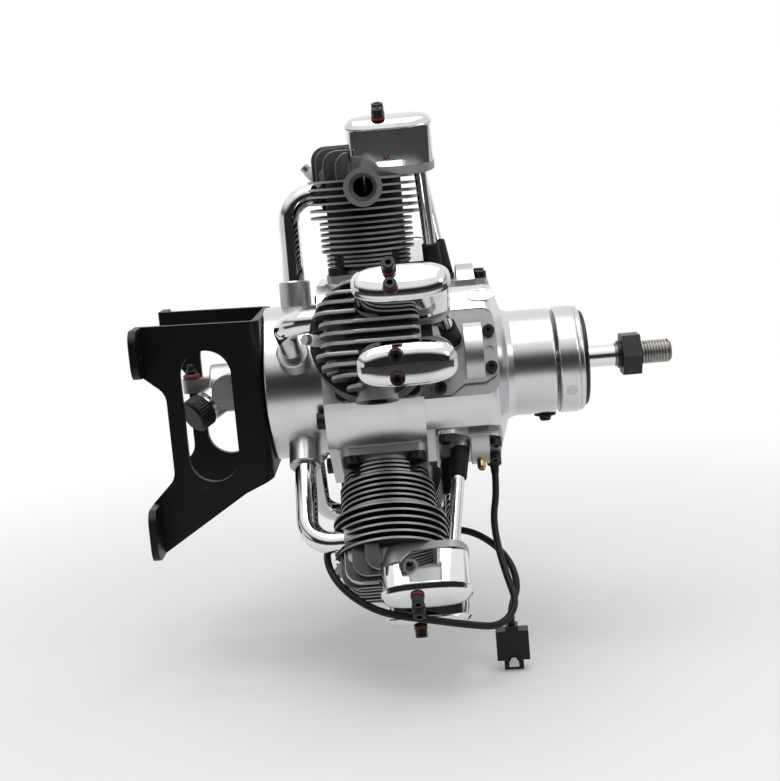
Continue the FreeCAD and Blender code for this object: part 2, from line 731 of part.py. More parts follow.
def make_cylinder():
    barrel = body("barrel")
    drawing = sketch(barrel, "XZ_Plane")
    outline(drawing, [
        ("0", "roof_top"), ("0", "head_top"), ("barrel_radius", "head_top"), ("barrel_radius", "pad_apothem"),
        ("sleeve_radius", "pad_apothem"), ("sleeve_radius", "sleeve_end"),
        ("piston_radius + bore_gap", "sleeve_end"), ("piston_radius + bore_gap", "roof_edge")])
    revolve(barrel, drawing, "V_Axis")
    fin_row(barrel, "low_fin_radius", "low_fin_start", "low_fin_pitch", 3)
    fin_row(barrel, "barrel_fin_radius", "barrel_fin_start", "barrel_fin_pitch", 6)
    fin_row(barrel, "head_fin_radius", "head_fin_start", "head_fin_pitch", 6)
    flange = body("flange")
    drawing = sketch(flange, "XY_Plane", "pad_apothem")
    outline(drawing, [
        ("-flange_half", "-flange_half", "4"), ("flange_half", "-flange_half", "4"),
        ("flange_half", "flange_half", "4"), ("-flange_half", "flange_half", "4")])
    circle(drawing, "sleeve_radius - 0.5")
    pad(flange, drawing, "flange_height")
    screw_holes = body("flange_holes")
    drawing = sketch(screw_holes, "XY_Plane", "pad_apothem - 1")
    relief = sketch(screw_holes, "XY_Plane", "pad_apothem + flange_height")
    for across in ("screw_across", "-screw_across"):
        for side in ("screw_side", "-screw_side"):
            circle(drawing, "big_screw + snug_gap", across, side)
            circle(relief, "big_head + 0.1", across, side)
    pad(screw_holes, drawing, "flange_height + 2")
    pad(screw_holes, relief, "barrel_fin_start - pad_apothem - flange_height - 1")
    block = body("head_block")
    drawing = sketch(block, "XZ_Plane")
    outline(drawing, [
        ("-head_back + 1.5", "exhaust_height + 3.5"), ("19", "exhaust_height + 3.5", "1.5"), ("19", "head_top - 3", "2"),
        ("13", "head_top", "2"), ("-head_back + 6", "head_top", "2"), ("-head_back + 1.5", "head_top - 3", "2")])
    pad(block, drawing, "head_half * 2", symmetric=True)
    ribs = body("head_ribs")
    drawing = sketch(ribs, "XZ_Plane", "rib_pitch * 3 - rib_thickness / 2")
    outline(drawing, [
        ("-head_back", "exhaust_height + 3.5"), ("-5.6", "exhaust_height + 3.5"), ("-5.6", "rib_top"),
        ("-head_back", "rib_top", "6.5")])
    row_pattern(ribs, pad(ribs, drawing, "rib_thickness"), "Y_Axis", "rib_pitch", 7)
    exhaust = rod("exhaust_boss_bar", "exhaust_boss", "10", "exhaust_reach", role="XZ_Plane")
    exhaust.Placement = shift(0.5, 0, "exhaust_height")
    intake = rod("intake_boss_bar", "intake_boss", "10", "intake_face")
    intake.Placement = (Placement(Vector(), Rotation(AXIS_X, -val("pipe_clock")))
                        * Placement(Vector(0, 0, val("pipe_level")), Rotation(AXIS_Z, 180)))
    plug_place = Placement(Vector(-val("plug_back"), 0, val("plug_height")), Rotation(AXIS_Y, -val("plug_lean")))
    plug_boss = rod("plug_boss_bar", "plug_hex * 0.75", "-9", "0", role="XY_Plane")
    plug_boss.Placement = plug_place
    trays = [copy_of(TRAY, box_tilt(side)) for side in SIDES]
    solid = fuse("cylinder_blank", [barrel, flange, block, ribs, exhaust, intake, plug_boss] + trays)
    mouth = rod("exhaust_mouth_tool", "exhaust_mouth", "exhaust_reach - exhaust_mouth_depth",
                "exhaust_reach + 1", role="XZ_Plane")
    mouth.Placement = exhaust.Placement
    port = rod("exhaust_port_tool", "port_radius", "4", "exhaust_reach", role="XZ_Plane")
    port.Placement = exhaust.Placement
    inlet = rod("inlet_tool", "pipe_radius + snug_gap", "pipe_end", "intake_face + 1")
    inlet.Placement = intake.Placement
    inlet_port = rod("inlet_port_tool", "pipe_bore", "-2", "pipe_end + 1")
    inlet_port.Placement = intake.Placement
    inlet_room = rod("inlet_room_tool", "pipe_radius + 1", "intake_face", "head_fin_radius + 2")
    inlet_room.Placement = intake.Placement
    thread = rod("plug_thread_tool", "plug_thread + snug_gap", "-12", "1", role="XY_Plane")
    thread.Placement = plug_place
    plug_room = rod("plug_room_tool", "plug_hex * 0.65", "0", "plug_shell + insulator_length", role="XY_Plane")
    plug_room.Placement = plug_place
    valve_holes = [copy_of(VALVE_TOOL, box_tilt(side)) for side in SIDES]
    tubes = [tube_tool(side) for side in SIDES]
    tools = fuse("cylinder_tools",
                 [screw_holes, mouth, port, inlet, inlet_port, inlet_room, thread, plug_room] + valve_holes + tubes)
    return cut("cylinder", solid, tools)


# Rocker tray: the cast floor of a rocker box, higher at the rear

def oblong(drawing, length, width, middle="0"):
    reach = f"({length}) / 2"
    half = f"({width}) / 2"
    round_end = f"({width}) / 2 - 0.01"
    outline(drawing, [
        (f"{middle} - {reach}", f"-{half}", round_end), (f"{middle} + {reach}", f"-{half}", round_end),
        (f"{middle} + {reach}", half, round_end), (f"{middle} - {reach}", half, round_end)])


def seat_line(owner, role="XZ_Plane"):
    # the stepped line between tray and cover, with everything above it
    drawing = sketch(owner, role)
    outline(drawing, [
        ("-box_length", "-seat_back"), ("-10", "-seat_back", "2"), ("-5", "-seat_front + 0.6", "3"),
        ("box_length", "-seat_front - 0.6"), ("box_length", "5"), ("-box_length", "5")])
    return drawing


def make_tray():
    tray = body("tray")
    drawing = sketch(tray, "XY_Plane", "-tray_bottom")
    oblong(drawing, "box_length + 0.4", "box_width + 0.4")
    pad(tray, drawing, "tray_bottom - seat_back + 1")
    pocket(tray, seat_line(tray), "box_width * 2", symmetric=True)
    drawing = sketch(tray, "XZ_Plane")
    rectangle(drawing, "rocker_shaft_place - 2.6", "rocker_shaft_place + 2.6", "-seat_front - 1",
              "-rocker_shaft_depth + 2.4")
    pad(tray, drawing, "box_width - cover_wall * 2 - 0.6", symmetric=True)
    drawing = sketch(tray, "XZ_Plane")
    rectangle(drawing, "rocker_shaft_place - 3", "rocker_shaft_place + 3", "-seat_front + 0.4", "0")
    pocket(tray, drawing, "rocker_half * 2 + 0.4", symmetric=True)
    drawing = sketch(tray, "XZ_Plane")
    circle(drawing, "rocker_shaft_radius + snug_gap", "rocker_shaft_place", "-rocker_shaft_depth")
    pocket(tray, drawing, "box_width", symmetric=True)
    drawing = sketch(tray, "XY_Plane", "-seat_front - 1")
    for side in ("cover_screw_side", "-cover_screw_side"):
        circle(drawing, "small_screw + 0.75", "-cover_screw_back", side)
    pad(tray, drawing, "seat_front - 2.2")
    drawing = sketch(tray, "XY_Plane", "-3.2")
    for side in ("cover_screw_side", "-cover_screw_side"):
        circle(drawing, "small_screw + snug_gap", "-cover_screw_back", side)
    pocket(tray, drawing, "screw_depth + 2")
    return tray


def make_valve_tool():
    tool = body("valve_tool")
    drawing = sketch(tool, "XY_Plane", "-seat_depth - 1")
    circle(drawing, "valve_head - 0.5", "-valve_back")
    pad(tool, drawing, "10")
    drawing = sketch(tool, "XY_Plane", "-seat_depth - 5")
    circle(drawing, "valve_head + 0.1", "-valve_back")
    pad(tool, drawing, "5")
    drawing = sketch(tool, "XY_Plane", "-seat_depth")
    circle(drawing, "stem_radius + run_gap", "-valve_back")
    pad(tool, drawing, "seat_depth - 5")
    drawing = sketch(tool, "XY_Plane", "-spring_seat")
    circle(drawing, "spring_radius + spring_wire + 0.3", "-valve_back")
    pad(tool, drawing, "spring_seat - 2")
    return tool


def tube_line(side):
    low = Vector(val("front_track" if side > 0 else "rear_track"), side * val("tube_low_side"), val("tube_low_height"))
    top = Vector(val("tube_top_front"), side * val("tube_top_side"), val("tube_top_height"))
    return low, top


def tube_tool(side):
    low, top = tube_line(side)
    way = (top - low).normalize()
    tool = rod(f"tube_tool_{side + 1}", "tube_radius + snug_gap", "-2", "tube_top_height - tube_low_height + 8",
               role="XY_Plane")
    tool.Placement = along(low + way * 2, top)
    return tool


# Rocker covers: a deep pressed cover with a domed crown, hollow from below

def make_cover():
    cover = body("cover")
    drawing = sketch(cover, "XY_Plane", "-tray_bottom")
    oblong(drawing, "box_length", "box_width")
    pad(cover, drawing, "tray_bottom - crown_depth")
    drawing = sketch(cover, "XY_Plane", "-crown_depth - 1")
    oblong(drawing, "box_length - crown_inset * 2", "box_width - crown_inset * 2")
    crown = pad(cover, drawing, "crown_depth + 1")
    doc.recompute()
    rim = [f"Edge{number}" for number, edge in enumerate(crown.Shape.Edges, 1) if edge.BoundBox.ZMin > -0.01]
    dome = cover.newObject("PartDesign::Fillet", "dome")
    dome.Base = (crown, rim)
    dome.setExpression("Radius", bound("crown_round"))
    drawing = sketch(cover, "XY_Plane", "-tray_bottom")
    oblong(drawing, "box_length - cover_wall * 2", "box_width - cover_wall * 2")
    pocket(cover, drawing, "tray_bottom - cover_wall", reverse=True)
    drawing = sketch(cover, "XZ_Plane")
    outline(drawing, [
        ("-box_length", "-seat_back"), ("-10", "-seat_back", "2"), ("-5", "-seat_front + 0.6", "3"),
        ("box_length", "-seat_front - 0.6"), ("box_length", "-tray_bottom - 1"), ("-box_length", "-tray_bottom - 1")])
    pocket(cover, drawing, "box_width * 2", symmetric=True)
    drawing = sketch(cover, "XY_Plane")
    for side in ("cover_screw_side", "-cover_screw_side"):
        circle(drawing, "small_screw + snug_gap", "-cover_screw_back", side)
    pocket(cover, drawing, "crown_depth")
    return cover


# Valve gear under each cover, held at rest

def make_valve():
    return lathe("valve", [
        ("0", "-seat_depth - 0.8"), ("valve_head", "-seat_depth - 0.8"), ("valve_head", "-seat_depth - 0.02"),
        ("valve_head - 0.6", "-seat_depth - 0.02"), ("stem_radius + 1", "-seat_depth + 1.6"), ("stem_radius", "-seat_depth + 4"),
        ("stem_radius", "-valve_tip"), ("0", "-valve_tip")], "V_Axis")


def make_spring():
    # the coils' own envelope, from the spring's seat to its retainer
    return rod("valve_spring", "spring_radius + spring_wire", "0", "spring_seat - valve_tip - 1.9",
               "spring_radius - spring_wire", role="XY_Plane")


def make_rocker():
    rocker = body("rocker")
    drawing = sketch(rocker, "XZ_Plane")
    outline(drawing, [
        ("-valve_back - 1.6", "-valve_tip + 0.1", "0.4"), ("-valve_back + 1.6", "-valve_tip + 0.1", "0.4"),
        ("rocker_shaft_place - 2.2", "-rocker_shaft_depth - 2.6", "1"),
        ("rocker_shaft_place + 2.2", "-rocker_shaft_depth - 2.6", "1"),
        ("9", "-13.2", "0.5"), ("13.4", "-13.2", "0.5"), ("13.4", "-9.4", "1"),
        ("rocker_shaft_place + 2.6", "-rocker_shaft_depth + 2.8", "1"),
        ("rocker_shaft_place - 2.6", "-rocker_shaft_depth + 2.8", "1"),
        ("-valve_back - 1.6", "-valve_tip + 2.6", "1")])
    pad(rocker, drawing, "rocker_half * 2", symmetric=True)
    drawing = sketch(rocker, "XY_Plane", "-13.2")
    circle(drawing, "1.7", "11.1", "3.4")
    pad(rocker, drawing, "3.4")
    drawing = sketch(rocker, "XZ_Plane")
    circle(drawing, "rocker_shaft_radius + run_gap", "rocker_shaft_place", "-rocker_shaft_depth")
    pocket(rocker, drawing, "box_width", symmetric=True)
    return rocker


def make_rocker_shaft():
    shaft = body("rocker_shaft")
    drawing = sketch(shaft, "XZ_Plane")
    circle(drawing, "rocker_shaft_radius", "rocker_shaft_place", "-rocker_shaft_depth")
    pad(shaft, drawing, "box_width - cover_wall * 2 - 0.8", symmetric=True)
    return shaft


# Screws: a shank with a socket head, origin at the seat, head along +Z

def make_screw(name, shank, head, height, depth):
    screw = lathe(name, [
        ("0", f"-({depth})"), (shank, f"-({depth})"), (shank, "0"), (head, "0"), (head, f"{height} - head_bevel"),
        (f"{head} - head_bevel", height), ("0", height)], "V_Axis")
    drawing = sketch(screw, "XY_Plane", height)
    hexagon(drawing, f"{head} * 0.86")
    pocket(screw, drawing, f"({height}) * 0.55")
    return screw


def hexagon(drawing, flats):
    corner = f"({flats}) / sqrt(3)"
    outline(drawing, [(f"{corner} * cos({angle})", f"{corner} * sin({angle})") for angle in range(0, 360, 60)])


# Intake pipe and its collar, in the plane of the pipe

def make_pipe():
    pipe = body("pipe")
    path = sketch(pipe, "XZ_Plane")
    points = [
        ("-pipe_back", "housing_radius - housing_wall"), ("-pipe_back", "pipe_level - pipe_bend"),
        ("-pipe_back + pipe_bend", "pipe_level"), ("-pipe_end", "pipe_level")]
    start, low, high, end = [Vector(val(across), val(up), 0) for across, up in points]
    turn = val("pipe_bend")
    middle = Vector(high.x - turn * math.sqrt(0.5), low.y + turn * math.sqrt(0.5), 0)
    path.addGeometry(Part.LineSegment(start, low))
    path.addGeometry(Part.ArcOfCircle(low, middle, high))
    path.addGeometry(Part.LineSegment(high, end))
    path.addConstraint(Sketcher.Constraint("Tangent", 0, 2, 1, 2))
    path.addConstraint(Sketcher.Constraint("Tangent", 1, 1, 2, 1))
    path.addConstraint(Sketcher.Constraint("Vertical", 0))
    path.addConstraint(Sketcher.Constraint("Horizontal", 2))
    set_radius(path, 1, "pipe_bend")
    pin_point(path, 0, 1, *points[0])
    pin_point(path, 2, 2, *points[3])
    ring = sketch(pipe, "XY_Plane", "housing_radius - housing_wall")
    circle(ring, "pipe_radius", "-pipe_back")
    circle(ring, "pipe_bore", "-pipe_back")
    tube = feature(pipe, "AdditivePipe", ring)
    tube.Spine = (path, ["Edge1", "Edge2", "Edge3"])
    return pipe


def make_collar():
    collar = body("collar")
    drawing = sketch(collar, "XY_Plane", "housing_radius - spot_depth")
    circle(drawing, "collar_radius", "-pipe_back")
    circle(drawing, "pipe_radius + snug_gap", "-pipe_back")
    tall = pad(collar, drawing, "collar_top - housing_radius + spot_depth")
    doc.recompute()
    rim = [f"Edge{number}" for number, edge in enumerate(tall.Shape.Edges, 1)
           if edge.BoundBox.ZMin > val("collar_top") - 0.01 and edge.BoundBox.XLength > val("collar_radius") * 1.9]
    bevel = collar.newObject("PartDesign::Chamfer", "collar_bevel")
    bevel.Base = (tall, rim)
    bevel.Size = 0.6
    return collar


# Tappet block: a plate on its flat with a half-round saddle, two bosses and screw lands

def make_block():
    block = body("block")
    drawing = sketch(block, "XY_Plane", "flat_apothem")
    outline(drawing, [
        ("block_back", "-block_half", "2.5"), ("block_back + 7.5", "-block_half", "2.5"),
        ("saddle_back - 1", "-saddle_half"), ("saddle_front", "-saddle_half"), ("block_tip", "-saddle_half + 3", "3"),
        ("block_tip", "saddle_half - 3", "3"), ("saddle_front", "saddle_half"), ("saddle_back - 1", "saddle_half"),
        ("block_back + 7.5", "block_half", "2.5"), ("block_back", "block_half", "2.5")])
    pad(block, drawing, "block_plate")
    drawing = sketch(block, "YZ_Plane", "saddle_back")
    left = drawing.addGeometry(Part.LineSegment(
        Vector(val("-saddle_half"), val("flat_apothem"), 0), Vector(val("saddle_half"), val("flat_apothem"), 0)))
    arch = drawing.addGeometry(Part.ArcOfCircle(
        Vector(val("saddle_half"), val("flat_apothem"), 0), Vector(0, val("saddle_crown"), 0),
        Vector(val("-saddle_half"), val("flat_apothem"), 0)))
    drawing.addConstraint(Sketcher.Constraint("Coincident", left, 2, arch, 1))
    drawing.addConstraint(Sketcher.Constraint("Coincident", left, 1, arch, 2))
    pin_point(drawing, left, 1, "-saddle_half", "flat_apothem")
    pin_point(drawing, left, 2, "saddle_half", "flat_apothem")
    rise = "(saddle_crown - flat_apothem)"
    set_radius(drawing, arch, f"(saddle_half * saddle_half + {rise} * {rise}) / (2 * {rise})")
    pad(block, drawing, "saddle_front - saddle_back")
    for side, track in zip(SIDES, ("front_track", "rear_track")):
        drawing = sketch(block, "XY_Plane", "flat_apothem")
        circle(drawing, "block_boss", track, f"{side} * tube_low_side")
        pad(block, drawing, "tube_low_height - flat_apothem")
    drawing = sketch(block, "XY_Plane", "flat_apothem - 1")
    for side, track in zip(SIDES, ("front_track", "rear_track")):
        circle(drawing, "tappet_radius + run_gap", track, f"{side} * tube_low_side")
    for side in ("-block_screw_back_side", "block_screw_back_side"):
        circle(drawing, "small_screw + snug_gap", "block_screw_back", side)
    for side in ("-block_screw_front_side", "block_screw_front_side"):
        circle(drawing, "small_screw + snug_gap", "block_screw_front", side)
    pocket(block, drawing, "saddle_crown", reverse=True)
    drawing = sketch(block, "XY_Plane", "flat_apothem + block_plate - 1")
    circle(drawing, "1.5", "block_screw_front")
    pocket(block, drawing, "2", reverse=True)
    return block


def block_hole_places():
    return ([(track, f"{side} * tube_low_side", "tappet_radius + 0.15")
             for side, track in zip(SIDES, ("front_track", "rear_track"))]
            + [("block_screw_back", f"{side} * block_screw_back_side", "small_screw + snug_gap") for side in SIDES]
            + [("block_screw_front", f"{side} * block_screw_front_side", "small_screw + snug_gap") for side in SIDES])


# Front case: a turned nose casting with five milled flats, the cam cavity and the bearing seat

def make_front_case():
    case = lathe("front_case_blank", [
        ("case_front", "cavity_radius"), ("case_front", "front_radius"), ("shoulder_front", "front_radius", "4.5"),
        ("nose_start", "nose_base_radius", "1.5"), ("nose_start + 3", "nose_radius"),
        ("nose_front", "nose_radius", "1"), ("nose_front", "nose_bearing_radius + snug_gap"),
        ("nose_bearing_start", "nose_bearing_radius + snug_gap"), ("nose_bearing_start", "nose_bore"),
        ("cavity_front + 1", "nose_bore"), ("cavity_front - 1", "shaft_radius + 0.5"),
        ("cam_boss_start", "shaft_radius + 0.5"), ("cam_boss_start", "cam_boss_radius"),
        ("cavity_front", "cam_boss_radius"), ("cavity_front", "cavity_radius")])
    drawing = sketch(case, "XY_Plane", "flat_apothem")
    outline(drawing, [
        ("case_front - 1", "-flat_half"), ("flat_front", "-flat_half", "flat_round"),
        ("flat_front", "flat_half", "flat_round"), ("case_front - 1", "flat_half")])
    ring_pattern(case, pocket(case, drawing, "case_radius", reverse=True))
    drawing = sketch(case, "XY_Plane", "flat_apothem + 1")
    for across, side, radius in block_hole_places()[:4]:
        circle(drawing, radius, across, side)
    ring_pattern(case, pocket(case, drawing, "flat_apothem - cam_base"))
    drawing = sketch(case, "XY_Plane", "flat_apothem + 1")
    for across, side, radius in block_hole_places()[4:]:
        circle(drawing, radius, across, side)
    ring_pattern(case, pocket(case, drawing, "screw_depth"))
    drawing = sketch(case, "XY_Plane", "-nose_radius - 1")
    circle(drawing, "sensor_radius + snug_gap", "sensor_place")
    pocket(case, drawing, "4", reverse=True)
    relief_hole = rod("relief_hole", "sleeve_foot + 0.65", "-0.02", "4.6", role="XY_Plane")
    relief_hole.Placement = relief_place()
    return engine_part("front_case", cut("front_case_cut", case, relief_hole))


# Spark plug: metal shell, white insulator and terminal

def make_plug_shell():
    shell = lathe("plug_shell", [
        ("0", "-10"), ("plug_thread", "-10"), ("plug_thread", "0"), ("plug_hex / 2", "0"),
        ("plug_hex / 2 - 0.4", "plug_shell"), ("0", "plug_shell")], "V_Axis")
    drawing = sketch(shell, "XY_Plane")
    hexagon(drawing, "plug_hex")
    pad(shell, drawing, "3.5")
    return shell


# Crank train

def make_crankshaft():
    shaft = lathe("crankshaft", [
        ("web_start", "0"), ("web_start", "journal_radius"), ("shaft_step", "journal_radius"),
        ("shaft_step", "shaft_radius"), ("ring_front", "shaft_radius"), ("ring_front", "relief_radius"),
        ("nut_collar_back - 1", "relief_radius"), ("nut_collar_back - 1", "shaft_radius"),
        ("free_start", "shaft_radius"), ("free_start", "free_radius"),
        ("shaft_end - 1", "free_radius"), ("shaft_end", "free_radius - 1"), ("shaft_end", "0")])
    drawing = sketch(shaft, "YZ_Plane", "web_start")
    outline(drawing, [
        ("-8.5", "throw + 8", "8"), ("8.5", "throw + 8", "8"), ("9.5", "0", "3"), ("21", "-6", "3"), ("16", "-18", "6"),
        ("-16", "-18", "6"), ("-21", "-6", "3"), ("-9.5", "0", "3")])
    pad(shaft, drawing, "web_thickness")
    return engine_part("crankshaft", shaft)


def make_master_rod():
    big_end = rod("big_end", "knuckle_circle + 3.6", "-rod_half", "rod_half", "crankpin_radius + run_gap")
    doc.recompute()
    drawing = sketch(big_end, "XZ_Plane")
    rectangle(drawing, "-link_half - 0.2", "link_half + 0.2", "crankpin_radius + 1.2", "knuckle_circle + 6")
    groove(big_end, drawing, "H_Axis")
    drawing = sketch(big_end, "YZ_Plane", "-rod_half - 1")
    for angle in ANGLES[1:]:
        circle(drawing, "knuckle_pin + snug_gap", f"-knuckle_circle * sin({angle})", f"knuckle_circle * cos({angle})")
    pocket(big_end, drawing, "rod_half * 2 + 2", reverse=True)
    shank = body("master_shank")
    drawing = sketch(shank, "YZ_Plane", "-link_half - 0.2")
    outline(drawing, [
        ("-4.2", "crankpin_radius + 0.8"), ("4.2", "crankpin_radius + 0.8"), ("3", "rod_length - 4"),
        ("-3", "rod_length - 4")])
    pad(shank, drawing, "link_half * 2 + 0.4")
    eye = body("master_eye")
    drawing = sketch(eye, "YZ_Plane", "-link_half * 1.6")
    circle(drawing, "wrist_pin + 2", "0", "rod_length")
    pad(eye, drawing, "link_half * 3.2")
    hole = body("master_hole")
    drawing = sketch(hole, "YZ_Plane", "-rod_half")
    circle(drawing, "wrist_pin + run_gap", "0", "rod_length")
    pad(hole, drawing, "rod_half * 2")
    made = cut("master_rod_cut", fuse("master_rod_blank", [big_end, shank, eye]), hole)
    made.Placement = crank_place() * shift(0, 0, "throw")
    return part("master_rod", made)


def wrist_heights():
    # each link rod reaches from its knuckle pin to its own cylinder's axis
    link = val("rod_length") - val("knuckle_circle")
    heights = [val("throw") + val("rod_length")]
    for angle in ANGLES[1:]:
        out = direction(angle)
        knuckle = Vector(0, 0, val("throw")) + out * val("knuckle_circle")
        level = knuckle.dot(out)
        heights.append(level + math.sqrt(link ** 2 - (knuckle.Length ** 2 - level ** 2)))
    return heights


def direction(angle):
    return Vector(0, -math.sin(math.radians(angle)), math.cos(math.radians(angle)))


def make_link():
    link = body("link")
    drawing = sketch(link, "YZ_Plane", "-link_half")
    outline(drawing, [
        ("-2.2", "0"), ("2.2", "0"), ("2.2", "rod_length - knuckle_circle"), ("-2.2", "rod_length - knuckle_circle")])
    pad(link, drawing, "link_half * 2")
    drawing = sketch(link, "YZ_Plane", "-link_half")
    circle(drawing, "knuckle_pin + 1.7")
    pad(link, drawing, "link_half * 2")
    drawing = sketch(link, "YZ_Plane", "-link_half * 1.6")
    circle(drawing, "wrist_pin + 2", "0", "rod_length - knuckle_circle")
    pad(link, drawing, "link_half * 3.2")
    drawing = sketch(link, "YZ_Plane", "-rod_half")
    circle(drawing, "knuckle_pin + run_gap")
    circle(drawing, "wrist_pin + run_gap", "0", "rod_length - knuckle_circle")
    pocket(link, drawing, "rod_half * 2", reverse=True)
    return link


def make_piston():
    piston = lathe("piston", [
        ("0", "piston_crown - 2.5"), ("0", "piston_crown"), ("piston_radius", "piston_crown"),
        ("piston_radius", "piston_crown - 1.6"), ("piston_radius - 0.6", "piston_crown - 1.6"),
        ("piston_radius - 0.6", "piston_crown - 2.8"), ("piston_radius", "piston_crown - 2.8"),
        ("piston_radius", "-piston_skirt"), ("piston_radius - piston_wall", "-piston_skirt"),
        ("piston_radius - piston_wall", "piston_crown - 2.5")], "V_Axis")
    drawing = sketch(piston, "YZ_Plane")
    circle(drawing, "wrist_pin + snug_gap")
    pocket(piston, drawing, "piston_radius * 3", symmetric=True)
    return piston


# Bearings

def make_race(name, inner, outer, start, width):
    return rod(name, outer, start, f"{start} + {width}", inner)


def make_balls(name, inner, outer, start, width, count):
    # balls halfway between the two races, with a little play
    ball = doc.addObject("Part::Sphere", name)
    ball.setExpression("Radius", bound(f"({outer} - ({inner})) / 2 - snug_gap"))
    seat = shift(f"{start} + {width} / 2", 0, f"({outer} + {inner}) / 2")
    return [copy_of(ball, crank_place() * Placement(Vector(), Rotation(AXIS_X, 360 * number / count)) * seat)
            for number in range(count)]


# Gears: straight teeth with involute flanks

def tooth_outline(teeth, low, high, play, first=0.0):
    module = val("gear_module")
    pressure = math.radians(20)
    pitch = module * teeth / 2
    base = pitch * math.cos(pressure)
    start = max(low, base)
    levels = [start, (start + high) / 2, high]

    def half_angle(radius):
        slope = math.acos(min(1.0, base / radius))
        return (math.pi / (2 * teeth) + play / (2 * pitch) + (math.tan(pressure) - pressure)
                - (math.tan(slope) - slope))

    points = []
    for number in range(teeth):
        middle = math.radians(first + 360.0 * number / teeth)
        flank = [(low, half_angle(start))] if low < base else []
        flank += [(level, half_angle(level)) for level in levels]
        for side, run in ((-1, flank), (1, flank[::-1])):
            for radius, half in run:
                angle = middle + side * half
                points.append(Vector(0, radius * math.sin(angle), radius * math.cos(angle)))
    return Part.makePolygon(points + points[:1])


def gear_prism(wire, start, width):
    return Part.Face(wire).translated(Vector(start, 0, 0)).extrude(Vector(width, 0, 0))


def shaped(name, shape, place):
    made = doc.addObject("Part::Feature", name)
    made.Shape = shape
    made.Placement = place
    return part(name, made)


def cylinder_x(radius, start, finish, centre_up=0.0):
    return Part.makeCylinder(radius, finish - start, Vector(start, 0, centre_up), AXIS_X)


def make_pinion():
    module = val("gear_module")
    wire = tooth_outline(20, module * (10 - 1.25), module * 11, -val("backlash"))
    teeth = gear_prism(wire, val("gear_start"), val("gear_width"))
    bore = cylinder_x(val("shaft_radius + snug_gap"), 0, val("cam_front"))
    return shaped("crank_pinion", teeth.cut(bore), crank_place())


def make_idler():
    module = val("gear_module")
    wire = tooth_outline(30, module * (15 - 1.25), module * 16, -val("backlash"), 6.0)
    teeth = gear_prism(wire, val("gear_start"), val("gear_width"))
    bore = cylinder_x(val("idler_pin_radius + run_gap"), 0, val("cam_front"))
    return shaped("idler_gear", teeth.cut(bore), crank_place() * shift(0, 0, "gear_module * 25"))


def make_cam_ring():
    module = val("gear_module")
    base, lobe = val("cam_base"), val("cam_lobe")
    back, front = val("cam_back"), val("cam_front")
    ring = cylinder_x(base, back, front).cut(cylinder_x(module * 39, back, front - val("cam_web")))
    spaces = gear_prism(tooth_outline(80, module * 38, module * 41.25, val("backlash"), 2.25),
                        back - 1, val("gear_start + gear_width") - back + 1.4)
    ring = ring.cut(spaces)
    for track, turn in (("rear_track", 0), ("front_track", 40)):
        start = val(f"{track} - track_width / 2")
        lobes = cylinder_x(base, start, start + val("track_width"))
        for half_turn in (turn, turn + 180):
            spread = 28
            low, top, end = [
                Vector(start, radius * math.sin(math.radians(angle)), radius * math.cos(math.radians(angle)))
                for radius, angle in ((base, half_turn - spread), (lobe, half_turn), (base, half_turn + spread))]
            wire = Part.Wire([Part.Arc(low, top, end).toShape(), Part.LineSegment(end, low).toShape()])
            lobes = lobes.fuse(Part.Face(wire).extrude(Vector(val("track_width"), 0, 0)))
        ring = ring.fuse(lobes.cut(cylinder_x(module * 41.5, back, front)))
    bore = cylinder_x(val("cam_boss_radius + run_gap"), back, front + 1)
    return shaped("cam_ring", ring.cut(bore).removeSplitter(), crank_place())


# Propeller drive: driver, drive ring and nut on the shaft

def make_driver():
    driver = lathe("driver_blank", [
        ("driver_back", "shaft_radius + snug_gap"), ("driver_back", "driver_radius", "1"),
        ("driver_front", "driver_radius", "1.4"), ("driver_front", "shaft_radius + snug_gap")])
    hole = rod("magnet_hole", "magnet_radius + snug_gap", "driver_radius - magnet_depth", "driver_radius + 1",
               role="XY_Plane")
    hole.Placement = magnet_place()
    return engine_part("prop_driver", cut("driver_cut", driver, hole))


def magnet_place():
    return (Placement(Vector(), Rotation(AXIS_X, val("magnet_angle")))
            * shift("(driver_back + driver_front) / 2", 0, 0))


def make_magnet():
    magnet = rod("trigger_magnet", "magnet_radius", "driver_radius - magnet_depth", "driver_radius - 0.2",
                 role="XY_Plane")
    magnet.Placement = crank_place() * magnet_place()
    part("trigger_magnet", magnet)


def make_drive_ring():
    ring = lathe("drive_ring", [
        ("driver_front", "shaft_radius + snug_gap"), ("driver_front", "ring_radius"),
        ("ring_front - 0.7", "ring_radius"), ("ring_front", "ring_radius - 0.7"),
        ("ring_front", "shaft_radius + snug_gap")])
    return engine_part("drive_ring", ring)


def make_nut():
    nut = lathe("prop_nut", [
        ("nut_collar_back", "shaft_radius + snug_gap"), ("nut_collar_back", "nut_collar_radius"),
        ("nut_collar_back + nut_collar_length + 0.4", "nut_collar_radius"),
        ("nut_collar_back + nut_collar_length + 0.4", "shaft_radius + snug_gap")])
    drawing = sketch(nut, "YZ_Plane", "nut_collar_back + nut_collar_length")
    hexagon(drawing, "nut_flats")
    circle(drawing, "shaft_radius + snug_gap")
    pad(nut, drawing, "nut_length")
    return engine_part("prop_nut", nut)


# Carburettor in the mount: body with the throttle barrel, air tube and cap, mixture needle

def carb_place():
    return crank_place() * shift("-barrel_place", 0, 0)


